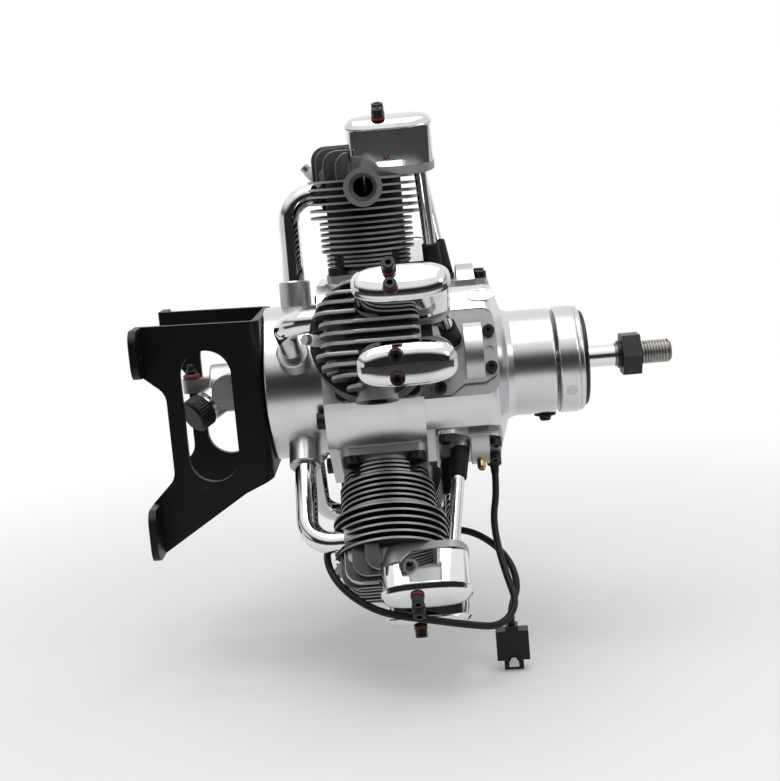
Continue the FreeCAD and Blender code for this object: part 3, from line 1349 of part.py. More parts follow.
def make_carburettor():
    plate_back = "barrel_place - housing_back - sheet_thickness"
    bodywork = lathe("carburettor_blank", [
        (plate_back, "0"), (plate_back, "plate_screw_circle - 6"), (f"{plate_back} - 2.5", "plate_screw_circle - 6"),
        (f"{plate_back} - 2.5", "carb_body"), ("-carb_length / 2 + 1", "carb_body", "1.5"),
        ("-carb_length / 2 + 1", "0")])
    lugs = body("carburettor_lugs")
    drawing = sketch(lugs, "YZ_Plane", f"{plate_back} - 2.5")
    outline(drawing, [
        ("-plate_screw_circle * 0.92", "-plate_screw_circle * 0.92", "4"),
        ("plate_screw_circle * 0.92", "-plate_screw_circle * 0.92", "4"),
        ("plate_screw_circle * 0.92", "plate_screw_circle * 0.92", "4"),
        ("-plate_screw_circle * 0.92", "plate_screw_circle * 0.92", "4")])
    pad(lugs, drawing, "2.5")
    spigot = rod("carburettor_spigot", "plate_hole - 0.3", plate_back, f"{plate_back} + sheet_thickness")
    across_bar = rod("barrel_housing_bar", "barrel_housing", "-barrel_half", "barrel_half", role="XZ_Plane")
    horn_place = along(Vector(0, 0, 0), horn_way())
    neck = rod("horn_neck", "horn_radius + 1.6", "0", "horn_start + 2", role="XY_Plane")
    neck.Placement = horn_place
    blank = fuse("carburettor_fused", [bodywork, lugs, spigot, across_bar, neck])
    bore = rod("carburettor_bore", "carb_bore", "0", "barrel_place - housing_back + 1")
    barrel_hole = rod("barrel_hole", "throttle_radius + run_gap", "-barrel_half - 1", "barrel_half - 2",
                      role="XZ_Plane")
    horn_hole = rod("horn_hole", "horn_radius + snug_gap", "horn_start", "horn_start + 3", role="XY_Plane")
    horn_hole.Placement = horn_place
    horn_bore = rod("horn_bore", "horn_radius - 1.2", "1", "horn_start + 1", role="XY_Plane")
    horn_bore.Placement = horn_place
    screws = rod("carburettor_screw_hole", "big_screw + snug_gap", f"{plate_back} - 4", f"{plate_back} + 1")
    holes = [copy_of(screws, Placement(Vector(), Rotation(AXIS_X, angle)) * shift(0, 0, "plate_screw_circle"))
             for angle in (45, 135, 225, 315)]
    lug = body("needle_lug")
    drawing = sketch(lug, "XY_Plane", "needle_low")
    outline(drawing, [
        ("-carb_length / 2 - 11", "-6.5", "2.5"), ("0", "-6.5"), ("0", "0.5"), ("-carb_length / 2 - 11", "0.5", "2.5")])
    pad(lug, drawing, "needle_high - needle_low")
    needle_hole = rod("needle_hole", "needle_radius + run_gap", "needle_low + 1.5", "needle_high + 1", role="XY_Plane")
    needle_hole.Placement = needle_place()
    tools = fuse("carburettor_tools", [bore, barrel_hole, horn_hole, horn_bore, needle_hole] + holes)
    made = cut("carburettor", fuse("carburettor_whole", [blank, lug]), tools)
    made.Placement = carb_place()
    return part("carburettor_body", made)


def horn_way():
    # the air tube leans to the rear, to the left side and down
    return Vector(-0.67, -0.64, -0.38).normalize()


def needle_place():
    # the needle stands upright in a lug behind the body
    return shift("-carb_length / 2 - 7", -3, 0)


def make_throttle():
    barrel = rod("throttle_barrel", "throttle_radius", "-barrel_half + 0.5", "barrel_half - 2.3", role="XZ_Plane")
    drawing = sketch(barrel, "YZ_Plane")
    circle(drawing, "carb_bore - 0.6")
    pocket(barrel, drawing, "throttle_radius * 3", symmetric=True)
    drawing = sketch(barrel, "XZ_Plane", "-barrel_half + 0.5")
    circle(drawing, "2")
    pad(barrel, drawing, "5", reverse=True)
    barrel.Placement = carb_place()
    part("throttle_barrel", barrel)
    arm = body("throttle_arm")
    drawing = sketch(arm, "XZ_Plane", "-barrel_half - 1")
    outline(drawing, [("-3.5", "-3.5", "3"), ("3.5", "-3.5", "3"), ("2.6", "arm_reach", "2.2"),
                      ("-2.6", "arm_reach", "2.2")])
    circle(drawing, "2 + snug_gap")
    circle(drawing, "1", "0", "arm_reach - 2.6")
    pad(arm, drawing, "1.5", reverse=True)
    arm.Placement = carb_place()
    part("throttle_arm", arm)


def make_air_tube():
    horn_place = carb_place() * along(Vector(0, 0, 0), horn_way())
    tube = rod("air_tube", "horn_radius", "horn_start", "horn_end", "horn_radius - 1", role="XY_Plane")
    tube.Placement = horn_place
    part("air_tube", tube)
    cap = lathe("air_cap", [
        ("0", "horn_end + 3.5"), ("cap_radius - 0.8", "horn_end + 3.5"), ("cap_radius", "horn_end + 2.7"), ("cap_radius", "horn_end - 4"),
        ("horn_radius + snug_gap", "horn_end - 4"), ("horn_radius + snug_gap", "horn_end + 0.1"),
        ("0", "horn_end + 0.1")], "V_Axis")
    cap.Placement = horn_place
    part("air_cap", cap)


def make_needle():
    place = carb_place() * needle_place()
    needle = lathe("mixture_needle", [
        ("0", "needle_low + 2"), ("needle_radius", "needle_low + 4"), ("needle_radius", "needle_high + 2.6"),
        ("2.4", "needle_high + 2.6"), ("2.4", "needle_high + 3.8", "0.4"), ("1.5", "needle_high + 3.8"),
        ("1.5", "needle_high + 6.4", "0.5"), ("0", "needle_high + 6.4")], "V_Axis")
    needle.Placement = place
    part("mixture_needle", needle)
    seal = doc.addObject("Part::Torus", "needle_seal")
    seal.setExpression("Radius1", bound("needle_radius + 1.1"))
    seal.Radius2 = 1
    seal.Placement = place * shift(0, 0, "needle_high + 1.1")
    part("needle_seal", seal)


# Sensor, nipple and cord

def make_sensor():
    sensor = lathe("ignition_sensor", [
        ("0", "-nose_radius + 2.6"), ("sensor_radius", "-nose_radius + 2.6"), ("sensor_radius", "-nose_radius"),
        ("sensor_radius + 1.8", "-nose_radius"), ("sensor_radius + 1.8", "-nose_radius - 1"),
        ("sensor_radius", "-nose_radius - 1"), ("sensor_radius - 0.8", "-nose_radius - sensor_drop"),
        ("0", "-nose_radius - sensor_drop")], "V_Axis")
    sensor.Placement = crank_place() * shift("sensor_place", 0, 0)
    return part("ignition_sensor", sensor)


def make_nipple():
    nipple = lathe("drain_nipple", [
        ("0.8", "saddle_crown + 0.02"), ("nipple_radius", "saddle_crown + 0.02"),
        ("nipple_radius", "saddle_crown + nipple_length - 1"),
        ("nipple_radius - 0.6", "saddle_crown + nipple_length"), ("0.8", "saddle_crown + nipple_length")], "V_Axis")
    nipple.Placement = at_cylinder(ANGLES[2], shift("(saddle_back + saddle_front) / 2", 0, 0))
    return part("drain_nipple", nipple)


# Ignition cord: one limp cord from its strain relief, once round the third cylinder, to the connector

CORD_ROUTE = [
    (46.6, -4.4, -46.9), (46.4, -8.2, -54.6), (43.6, -18, -63.5), (44.2, -30, -73.5), (46.4, -40, -83),
    (49.4, -50, -92.5), (41.5, -58, -98.5), (28.5, -64, -94.5), (12.5, -68.5, -89.5), (-4, -68.3, -86),
    (-15, -65.6, -80.4), (-22.8, -61.5, -73.4), (-26.6, -53.9, -67.1), (-26.4, -41.9, -63.8), (-23.5, -27.5, -63.4),
    (-9, -18.2, -68.4), (6, -13.5, -69), (21, -11.5, -68.2), (33, -14.5, -68.8), (42.5, -22.5, -73),
    (48.8, -32.5, -79), (50.8, -41, -87.4), (46.4, -45.2, -95.5), (46.4, -45.2, -102)]


def cord_path():
    points = [Vector(*point) for point in CORD_ROUTE]
    edges = []
    here = points[0]
    length = 0.0
    radii = []
    for before, corner, after in zip(points, points[1:], points[2:]):
        back = (before - corner)
        ahead = (after - corner)
        shorter = min(back.Length, ahead.Length)
        half = back.getAngle(ahead) / 2
        radii.append(0.45 * shorter * math.tan(half))
        start = corner + back.normalize() * (0.45 * shorter)
        end = corner + ahead.normalize() * (0.45 * shorter)
        middle = (back + ahead).normalize()
        top = corner + middle * (radii[-1] / math.sin(half) - radii[-1])
        edges += [Part.LineSegment(here, start).toShape(), Part.Arc(start, top, end).toShape()]
        here = end
    edges.append(Part.LineSegment(here, points[-1]).toShape())
    wire = Part.Wire(edges)
    print("cord length", round(wire.Length, 1), "least radius", round(min(radii), 1))
    return wire


def make_cord():
    wire = cord_path()
    start = Vector(*CORD_ROUTE[0])
    way = (Vector(*CORD_ROUTE[1]) - start).normalize()
    section = Part.Wire(Part.makeCircle(val("cord_radius"), start, way))
    tube = wire.makePipeShell([section], True, True)
    expected = math.pi * val("cord_radius") ** 2 * wire.Length
    print("cord volume", round(tube.Volume, 1), "expected", round(expected, 1))
    shaped("sensor_cord", tube, crank_place())


def relief_place():
    # in line with the cord's first run, with its foot in the front case
    first = Vector(*CORD_ROUTE[0])
    way = (Vector(*CORD_ROUTE[1]) - first).normalize()
    return along(first - way * val("relief_length"), first)


def make_relief():
    # a moulded sleeve that seats in the case's rounded shoulder and ends at the cord's first point
    sleeve = lathe("strain_relief", [
        ("0", "0"), ("sleeve_foot", "0"), ("sleeve_foot", "3"), ("sleeve_foot + 0.6", "3"),
        ("sleeve_foot + 0.6", "4.5"), ("sleeve_foot - 0.7", "5.5"), ("sleeve_foot - 0.9", "relief_length"),
        ("0", "relief_length")], "V_Axis")
    sleeve.Placement = crank_place() * relief_place()
    part("strain_relief", sleeve)


def make_connector():
    end = Vector(*CORD_ROUTE[-1])
    place = crank_place() * Placement(end, Rotation(AXIS_Z, -3))
    housing = body("cord_connector")
    drawing = sketch(housing, "XZ_Plane")
    outline(drawing, [
        ("-2.6", "0"), ("2.6", "0"), ("2.6", "-2"), ("connector_width / 2", "-2"),
        ("connector_width / 2", "-connector_height + 4"), ("4", "-connector_height + 4"), ("4", "-connector_height"),
        ("-4", "-connector_height"), ("-4", "-connector_height + 4"),
        ("-connector_width / 2", "-connector_height + 4"), ("-connector_width / 2", "-2"), ("-2.6", "-2")])
    pad(housing, drawing, "connector_depth", symmetric=True)
    drawing = sketch(housing, "XZ_Plane", "connector_depth / 2 - 1.2")
    rectangle(drawing, "-2.2", "2.2", "-connector_height + 0.8", "-connector_height + 6")
    pocket(housing, drawing, "2", reverse=True)
    housing.Placement = place
    part("cord_connector", housing)
    clip = body("connector_clip")
    drawing = sketch(clip, "XZ_Plane", "connector_depth / 2 - 1.2")
    outline(drawing, [
        ("-2", "-connector_height + 1"), ("2", "-connector_height + 1"), ("2", "-connector_height + 3"),
        ("0.8", "-connector_height + 5"), ("-0.8", "-connector_height + 5"), ("-2", "-connector_height + 3")])
    pad(clip, drawing, "0.9")
    clip.Placement = place
    part("connector_clip", clip)


# Assembly: each pattern is drawn once, then placed on every cylinder

TRAY = make_tray()
VALVE_TOOL = make_valve_tool()
cylinder_places = [at_cylinder(angle) for angle in ANGLES]
box_places = [at_cylinder(angle, box_tilt(side)) for angle in ANGLES for side in SIDES]
pipe_places = [at_cylinder(angle - val("pipe_clock")) for angle in ANGLES]


def everywhere(name, source, places, offsets=(Placement(),)):
    group(name, [copy_of(source, place * offset) for place in places for offset in offsets])


make_crankcase()
make_rear_cover()
make_induction_housing()
make_mount()
cylinder = make_cylinder()
for number, place in enumerate(cylinder_places, 1):
    part(f"cylinder_{number}", copy_of(cylinder, place))
base_seats = [shift(f"{one} * screw_across", f"{two} * screw_side", "pad_apothem + flange_height")
              for one in SIDES for two in SIDES]
base_screw = make_screw("base_screw", "big_screw", "big_head", "big_head_height", "screw_depth + flange_height - 1")
everywhere("cylinder_screws", base_screw, cylinder_places, base_seats)

everywhere("rocker_covers", make_cover(), box_places)
everywhere("valves", make_valve(), box_places, [shift("-valve_back", 0, 0)])
everywhere("valve_springs", make_spring(), box_places, [shift("-valve_back", 0, "-spring_seat + 0.5")])
everywhere("rockers", make_rocker(), box_places)
everywhere("rocker_shafts", make_rocker_shaft(), box_places)
washer_seats = [shift("-cover_screw_back", f"{side} * cover_screw_side", 0) for side in SIDES]
washer = rod("cover_washer", "washer_radius", "0", "washer_thickness", "small_screw + run_gap", role="XY_Plane")
everywhere("cover_washers", washer, box_places, washer_seats)
cover_screw = make_screw("cover_screw", "small_screw", "small_head", "small_head_height", "screw_depth + 2")
everywhere("cover_screws", cover_screw, box_places,
           [seat * shift(0, 0, "washer_thickness") for seat in washer_seats])

everywhere("intake_pipes", make_pipe(), pipe_places)
everywhere("intake_collars", make_collar(), pipe_places)

make_front_case()
everywhere("tappet_blocks", make_block(), cylinder_places)
block_screw = make_screw("block_screw", "small_screw", "small_head", "small_head_height * 0.8", "screw_depth")
block_seats = [shift("block_screw_back", f"{side} * block_screw_back_side", "flat_apothem + block_plate")
               for side in SIDES]
block_seats += [shift("block_screw_front", f"{side} * block_screw_front_side", "flat_apothem + block_plate")
                for side in SIDES]
everywhere("tappet_block_screws", block_screw, cylinder_places, block_seats)

tube_length = "sqrt((tube_top_height - tube_low_height)^2 + (tube_top_side - tube_low_side)^2)"
tube_places = [along(*tube_line(side)) for side in SIDES]
below_boss = rod("below_boss", "boot_radius * 4", "flat_apothem", "tube_low_height + 0.02", role="XY_Plane")
below_boss.Placement = shift("(front_track + rear_track) / 2", 0, 0)


def on_bosses(name, source):
    # leaning pieces, each cut level where it stands on the block's boss
    trimmed = [cut(f"{name}_{number}", copy_of(source, place), below_boss)
               for number, place in enumerate(tube_places, 1)]
    group(name, [copy_of(piece, place) for place in cylinder_places for piece in trimmed])


tube = rod("pushrod_tube", "tube_radius", "-1", tube_length, "tube_bore", role="XY_Plane")
on_bosses("pushrod_tubes", tube)
boot = lathe("pushrod_boot", [
    ("tube_radius + snug_gap", "-1.4"), ("boot_radius", "-1.4"), ("boot_top_radius", "boot_length - 0.5"),
    ("boot_top_radius - 0.4", "boot_length"), ("tube_radius + snug_gap", "boot_length")], "V_Axis")
on_bosses("pushrod_boots", boot)
pushrod = rod("pushrod", "pushrod_radius", "0.6", f"{tube_length} + 4.6", role="XY_Plane")
everywhere("pushrods", pushrod, cylinder_places, tube_places)
tappet = rod("tappet", "tappet_radius", "cam_lobe + tappet_gap", "tube_low_height - 0.4", role="XY_Plane")
everywhere("tappets", tappet, cylinder_places,
           [shift("front_track", "tube_low_side", 0), shift("rear_track", "-tube_low_side", 0)])

plug_place = Placement(Vector(-val("plug_back"), 0, val("plug_height")), Rotation(AXIS_Y, -val("plug_lean")))
shell = make_plug_shell()
terminal = rod("plug_terminal", "terminal_radius", "plug_shell + insulator_length",
               "plug_shell + insulator_length + terminal_length", role="XY_Plane")
group("spark_plugs", [copy_of(piece, place * plug_place) for place in cylinder_places for piece in (shell, terminal)])
insulator = rod("plug_insulator", "insulator_radius", "plug_shell", "plug_shell + insulator_length", role="XY_Plane")
everywhere("plug_insulators", insulator, cylinder_places, [plug_place])

rear_face = Rotation(AXIS_Y, -90)
rear_seats = [Placement(Vector(val("-case_back - cover_plate"), 0, val("rear_screw_circle")), rear_face)]
between_pads = [at_cylinder(angle + val("rear_screw_angle")) for angle in ANGLES]
rear_screw = make_screw("rear_screw", "big_screw", "big_head", "big_head_height + 0.4", "cover_plate + screw_depth")
everywhere("rear_screws", rear_screw, between_pads, rear_seats)
plate_back = "-housing_back - sheet_thickness - 2.5"
plate_seats = [Placement(Vector(val(plate_back), 0, val("plate_screw_circle")), rear_face)]
plate_screw = make_screw("plate_screw", "big_screw", "big_head", "big_head_height", "sheet_thickness + 5.5")
everywhere("mount_screws", plate_screw, [at_cylinder(angle) for angle in (45, 135, 225, 315)], plate_seats)

make_crankshaft()
crankpin = rod("crankpin", "crankpin_radius", "-rod_half - 0.5", "web_start - pin_gap")
crankpin.Placement = crank_place() * shift(0, 0, "throw")
part("crankpin", crankpin)
make_master_rod()
heights = wrist_heights()
knuckles = [Vector(0, 0, val("throw")) + direction(angle) * val("knuckle_circle") for angle in ANGLES[1:]]
wrists = [direction(angle) * height for angle, height in zip(ANGLES, heights)]
link = make_link()
group("link_rods", [copy_of(link, crank_place() * Placement(knuckle, Rotation(AXIS_Z, wrist - knuckle)))
                    for knuckle, wrist in zip(knuckles, wrists[1:])])
knuckle_bar = rod("knuckle_bar", "knuckle_pin", "-rod_half + 0.2", "rod_half - 0.2")
wrist_bar = rod("wrist_bar", "wrist_pin", "-piston_radius + 1", "piston_radius - 1")
group("rod_pins", [copy_of(knuckle_bar, crank_place() * Placement(knuckle, Rotation())) for knuckle in knuckles]
      + [copy_of(wrist_bar, crank_place() * Placement(wrist, Rotation())) for wrist in wrists])
piston = make_piston()
group("pistons", [copy_of(piston, at_cylinder(angle, Placement(Vector(0, 0, height), Rotation())))
                  for angle, height in zip(ANGLES, heights)])

main = ("main_bearing_start", "main_bearing_width")
nose = ("nose_bearing_start", "nose_bearing_width")
group("bearing_outer_races", [copy_of(race, crank_place()) for race in (
    make_race("main_outer", "main_bearing_radius - 1.2", "main_bearing_radius", *main),
    make_race("nose_outer", "nose_bearing_radius - 2.2", "nose_bearing_radius", *nose))])
group("bearing_inner_races", [copy_of(race, crank_place()) for race in (
    make_race("main_inner", "journal_radius + snug_gap", "journal_radius + 1.2", *main),
    make_race("nose_inner", "shaft_radius + snug_gap", "shaft_radius + 2.2", *nose))])

group("bearing_balls",
      make_balls("main_ball", "journal_radius + 1.2", "main_bearing_radius - 1.2", *main, 14)
      + make_balls("nose_ball", "shaft_radius + 2.2", "nose_bearing_radius - 2.2", *nose, 9))

make_pinion()
make_idler()
idler_pin = rod("idler_pin", "idler_pin_radius", "chamber_front + 0.5", "gear_start + gear_width + 0.8")
idler_pin.Placement = crank_place() * shift(0, 0, "gear_module * 25")
part("idler_pin", idler_pin)
make_cam_ring()

make_driver()
make_magnet()
make_drive_ring()
make_nut()
make_sensor()
make_nipple()
make_carburettor()
make_throttle()
make_air_tube()
make_needle()
make_relief()
make_cord()
make_connector()

doc.recompute()
for item in doc.Objects:
    if "Invalid" in item.State or "Error" in item.State:
        raise RuntimeError(f"{item.Name} failed: {item.State}")
os.makedirs("parts", exist_ok=True)
for node in nodes:
    shape = Part.getShape(node)
    if shape.isNull() or not shape.isValid():
        raise RuntimeError(f"{node.Label} has no valid shape")
for node in nodes:
    Part.getShape(node).exportStep(f"parts/{node.Label}.step")
print(len(nodes), "nodes written")
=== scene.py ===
import math

import bpy
from mathutils import Matrix, Vector


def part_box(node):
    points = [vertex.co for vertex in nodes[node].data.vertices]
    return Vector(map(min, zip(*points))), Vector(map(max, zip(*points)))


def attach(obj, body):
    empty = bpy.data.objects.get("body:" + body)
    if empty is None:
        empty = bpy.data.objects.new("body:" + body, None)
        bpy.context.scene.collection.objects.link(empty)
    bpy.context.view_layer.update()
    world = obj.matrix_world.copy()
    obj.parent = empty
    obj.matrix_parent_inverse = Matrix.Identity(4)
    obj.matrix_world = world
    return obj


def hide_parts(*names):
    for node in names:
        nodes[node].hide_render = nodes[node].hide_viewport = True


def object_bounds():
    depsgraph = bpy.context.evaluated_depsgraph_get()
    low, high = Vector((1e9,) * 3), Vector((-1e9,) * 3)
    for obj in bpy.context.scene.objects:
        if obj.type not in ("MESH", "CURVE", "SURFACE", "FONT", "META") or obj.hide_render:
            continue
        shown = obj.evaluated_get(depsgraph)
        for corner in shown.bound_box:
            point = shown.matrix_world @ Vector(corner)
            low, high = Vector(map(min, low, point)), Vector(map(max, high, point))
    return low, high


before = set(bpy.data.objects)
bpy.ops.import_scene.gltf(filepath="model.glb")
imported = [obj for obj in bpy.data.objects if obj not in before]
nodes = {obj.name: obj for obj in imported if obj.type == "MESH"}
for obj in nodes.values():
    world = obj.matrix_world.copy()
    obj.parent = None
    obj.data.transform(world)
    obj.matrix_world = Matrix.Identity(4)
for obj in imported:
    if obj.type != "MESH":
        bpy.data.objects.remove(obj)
cadBox = [list(corner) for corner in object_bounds()]

# where the engine's own axes lie in the model, in metres and degrees
engine = {
    "crankCentre": Vector((0.098, 0.0, 0.015)),
    "cylinderAngles": (0, 72, 144, 216, 288),
}
# how close two places are to count as one, and how near an edge lies to count as on it
slack = {"merge": 0.00001, "near": 0.0001}
print("frame loaded:", len(nodes), "nodes")


# Camera

camera = {
    "eye": (0.1129, -0.6069, 0.1044),
    "azimuth": 1.03,
    "height": 9.06,
    "roll": 5.0,
    "focalPixels": 1411.3,
    "pictureWidth": 780,
    "sensorWidth": 36,
    "clipStart": 0.01,
}


def placeCamera():
    data = bpy.data.cameras.new("photoCamera")
    data.sensor_fit = "HORIZONTAL"
    data.sensor_width = camera["sensorWidth"]
    data.lens = camera["focalPixels"] / camera["pictureWidth"] * data.sensor_width
    data.clip_start = camera["clipStart"]
    cameraObject = bpy.data.objects.new("photoCamera", data)
    bpy.context.scene.collection.objects.link(cameraObject)
    turn = math.radians(camera["azimuth"])
    tilt = math.radians(camera["height"])
    back = Vector((math.sin(turn) * math.cos(tilt), -math.cos(turn) * math.cos(tilt), math.sin(tilt)))
    right = (-back).cross(Vector((0, 0, 1))).normalized()
    up = right.cross(-back)
    roll = math.radians(camera["roll"])
    sideways = math.cos(roll) * right - math.sin(roll) * up
    upward = math.sin(roll) * right + math.cos(roll) * up
    facing = Matrix((sideways, upward, back)).transposed().to_4x4()
    cameraObject.matrix_world = Matrix.Translation(camera["eye"]) @ facing
    bpy.context.scene.camera = cameraObject


placeCamera()
bpy.context.scene.view_settings.view_transform = "Standard"
print("camera placed")


# Shader maths: a socket that can be used in plain expressions

class Wire:
    def __init__(self, maker, socket):
        self.maker = maker
        self.socket = socket

    def maths(self, operation, first, second):
        return self.maker.add("ShaderNodeMath", {"operation": operation}, {0: first, 1: second})["Value"]

    def __add__(self, other):
        return self.maths("ADD", self, other)

    __radd__ = __add__

    def __sub__(self, other):
        return self.maths("SUBTRACT", self, other)

    def __rsub__(self, other):
        return self.maths("SUBTRACT", other, self)

    def __mul__(self, other):
        return self.maths("MULTIPLY", self, other)

    __rmul__ = __mul__

    def __pow__(self, other):
        return self.maths("POWER", self, other)

    def ramp(self, low, high, start=0.0, finish=1.0):
        # smooth step from start to finish as the value goes from low to high
        values = {"Value": self, "From Min": low, "From Max": high, "To Min": start, "To Max": finish}
        return self.maker.add("ShaderNodeMapRange", {"interpolation_type": "SMOOTHSTEP"}, values)["Result"]


class NodeOutputs:
    def __init__(self, maker, node):
        self.maker = maker
        self.node = node

    def __getitem__(self, name):
        return Wire(self.maker, self.node.outputs[name])


class NodeMaker:
    def __init__(self, tree):
        self.tree = tree

    def add(self, kind, settings=None, values=None):
        node = self.tree.nodes.new(kind)
        for name, setting in (settings or {}).items():
            setattr(node, name, setting)
        self.feed(node, values or {})
        return NodeOutputs(self, node)

    def feed(self, node, values):
        for name, value in values.items():
            if isinstance(value, Wire):
                self.tree.links.new(value.socket, node.inputs[name])
            else:
                node.inputs[name].default_value = value

    def place(self, offset=(0, 0, 0), scale=(1, 1, 1), turn=(0, 0, 0)):
        here = self.add("ShaderNodeTexCoord")["Object"]
        moved = self.add("ShaderNodeVectorMath", {"operation": "SUBTRACT"}, {0: here, 1: offset})["Vector"]
        values = {"Vector": moved, "Scale": scale, "Rotation": turn}
        return self.add("ShaderNodeMapping", {"vector_type": "POINT"}, values)["Vector"]

    def parts(self, vector):
        split = self.add("ShaderNodeSeparateXYZ", values={0: vector})
        return split["X"], split["Y"], split["Z"]

    def noise(self, vector, scale, detail=3.0, roughness=0.55):
        values = {"Vector": vector, "Scale": scale, "Detail": detail, "Roughness": roughness}
        return self.add("ShaderNodeTexNoise", values=values)["Fac"]

    def streaks(self, scale, offset=(0, 0, 0), turn=(0, 0, 0), detail=2.0):
        # noise drawn out along the axes with the smaller scale
        return self.noise(self.place(offset, scale, turn), 1.0, detail)

    def facing(self, way):
        # 1 on faces that look along the given way or against it, 0 on faces square to it
        normal = self.add("ShaderNodeTexCoord")["Normal"]
        share = self.add("ShaderNodeVectorMath", {"operation": "DOT_PRODUCT"}, {0: normal, 1: way})["Value"]
        return share * share

    def mix(self, factor, first, second):
        node = self.tree.nodes.new("ShaderNodeMix")
        node.data_type = "RGBA"
        colours = [value if isinstance(value, Wire) else (*value, 1.0) for value in (first, second)]
        self.feed(node, {0: factor, 6: colours[0], 7: colours[1]})
        return Wire(self, node.outputs[2])

    def bump(self, height, depth, strength):
        values = {"Height": height, "Distance": depth, "Strength": strength}
        return self.add("ShaderNodeBump", values=values)["Normal"]


def newFinish(name, fixed, build):
    # a principled material: fixed numbers on its sockets, the rest from the build function
    material = bpy.data.materials.new(name)
    material.use_nodes = True
    maker = NodeMaker(material.node_tree)
    shader = material.node_tree.nodes["Principled BSDF"]
    maker.feed(shader, fixed)
    maker.feed(shader, build(maker))
    return material


# kinds of surface that several finishes share
metal = {"Metallic": 1.0}
plain = {"Metallic": 0.0}
dull = {"Metallic": 0.0, "Specular IOR Level": 0.25}


# Cast aluminium of the cylinders and of the ribs over each head

cast = {
    "colour": (0.34, 0.34, 0.345),
    "light": (0.44, 0.44, 0.445),
    # painted shade: the dark colour given to the rib sides that face into the gaps between the ribs
    "flank": (0.10, 0.10, 0.103),
    # painted shade: the dark colour given to the fin flats and to the roots between the fins
    "groove": (0.055, 0.055, 0.057),
    "grainScale": 900,
    "grainDetail": 4.0,
    "grainShare": 0.7,
    "patchScale": 60,
    "ringScale": (30, 30, 2600),
    "finsStart": (0.0465, 0.0475),
    "finsEnd": (0.0855, 0.0862),
    # these ranges pick where the cylinders' painted shade goes: the roots between the fins and the fin flats
    "finRoot": (0.0164, 0.0182),
    "finFlat": (0.35, 0.8),
    "ribGrainScale": 1100,
    # this range picks the rib sides that get painted shade
    "ribFlank": (0.3, 0.8),
    "roughness": 0.42,
    "grainRoughness": 0.16,
    "darkRoughness": 0.1,
    "bump": (0.00004, 0.6),
    "ribBump": (0.00005, 0.6),
}


def castBuild(angle):
    # cast and machined cylinder: light fin edges, with painted shade darkening the fin flats and the roots
    # between the fins
    def build(maker):
        turn = (-math.radians(angle), 0, 0)
        local = maker.place(engine["crankCentre"], turn=turn)
        across, side, out = maker.parts(local)
        distance = (across * across + side * side) ** 0.5
        grain = maker.noise(local, cast["grainScale"], cast["grainDetail"])
        patches = maker.noise(local, cast["patchScale"], 2.0)
        outward = (0, -math.sin(math.radians(angle)), math.cos(math.radians(angle)))
        flat = maker.facing(outward).ramp(*cast["finFlat"])
        isFin = out.ramp(*cast["finsStart"]) * (1 - out.ramp(*cast["finsEnd"]))
        root = 1 - distance.ramp(*cast["finRoot"])
        # painted shade: the fin flats and the roots between the fins are mixed towards the dark colour
        dark = isFin * (1 - (1 - flat) * (1 - root))
        bright = maker.mix(patches, cast["colour"], cast["light"])
        rings = maker.streaks(cast["ringScale"], engine["crankCentre"], turn, 1.0)
        height = grain * cast["grainShare"] + rings * (1 - cast["grainShare"])
        rough = cast["roughness"] + grain * cast["grainRoughness"] + dark * cast["darkRoughness"]
        return {
            "Base Color": maker.mix(dark, bright, cast["groove"]),
            "Roughness": rough,
            "Normal": maker.bump(height, *cast["bump"]),
        }
    return build


def ribBuild(angle):
    # head ribs: bare light edges, with painted shade darkening the sides that face into the gaps between the
    # ribs
    def build(maker):
        local = maker.place(engine["crankCentre"], turn=(-math.radians(angle), 0, 0))
        grain = maker.noise(local, cast["ribGrainScale"], cast["grainDetail"])
        sideways = (0, math.cos(math.radians(angle)), math.sin(math.radians(angle)))
        # painted shade: the rib sides that face into the gaps between the ribs are mixed towards a dark
        # colour
        flank = maker.facing(sideways).ramp(*cast["ribFlank"])
        rough = cast["roughness"] + grain * cast["grainRoughness"] + flank * cast["darkRoughness"]
        return {
            "Base Color": maker.mix(flank, cast["light"], cast["flank"]),
            "Roughness": rough,
            "Normal": maker.bump(grain, *cast["ribBump"]),
        }
    return build


# Turned aluminium of the cases: bright, with fine rings round the crank axis and a soft cloudiness

turned = {
    "colour": (0.72, 0.725, 0.735),
    "shade": (0.60, 0.605, 0.62),
    "cloudScale": 70,
    "cloudShare": 0.6,
    "ringScale": (3800, 26, 26),
    "bandScale": (420, 5, 5),
    "roughness": 0.17,
    "cloudRoughness": 0.08,
    "ringRoughness": 0.07,
    "bump": (0.000018, 0.55),
}


def turnedBuild(maker):
    rings = maker.streaks(turned["ringScale"], engine["crankCentre"])
    bands = maker.streaks(turned["bandScale"], engine["crankCentre"])
    cloud = maker.noise(maker.place(engine["crankCentre"]), turned["cloudScale"])
    shading = cloud * turned["cloudShare"] + bands * (1 - turned["cloudShare"])
    rough = turned["roughness"] + cloud * turned["cloudRoughness"] + rings * turned["ringRoughness"]
    return {
        "Base Color": maker.mix(shading, turned["colour"], turned["shade"]),
        "Roughness": rough,
        "Normal": maker.bump(rings, *turned["bump"]),
    }


# Satin milled aluminium of the blocks and collars

milled = {
    "colour": (0.60, 0.605, 0.615),
    "shade": (0.48, 0.485, 0.495),
    "cloudScale": 130,
    "markScale": (500, 2600, 500),
    "roughness": 0.27,
    "cloudRoughness": 0.12,
    "markRoughness": 0.06,
    "bump": (0.00002, 0.5),
}


def milledBuild(maker):
    marks = maker.streaks(milled["markScale"])
    cloud = maker.noise(maker.place(), milled["cloudScale"])
    rough = milled["roughness"] + cloud * milled["cloudRoughness"] + marks * milled["markRoughness"]
    return {
        "Base Color": maker.mix(cloud, milled["colour"], milled["shade"]),
        "Roughness": rough,
        "Normal": maker.bump(marks, *milled["bump"]),
    }


# Chrome of the covers and pipes: a faint haze, scratches and a slight waviness of the pressed sheet

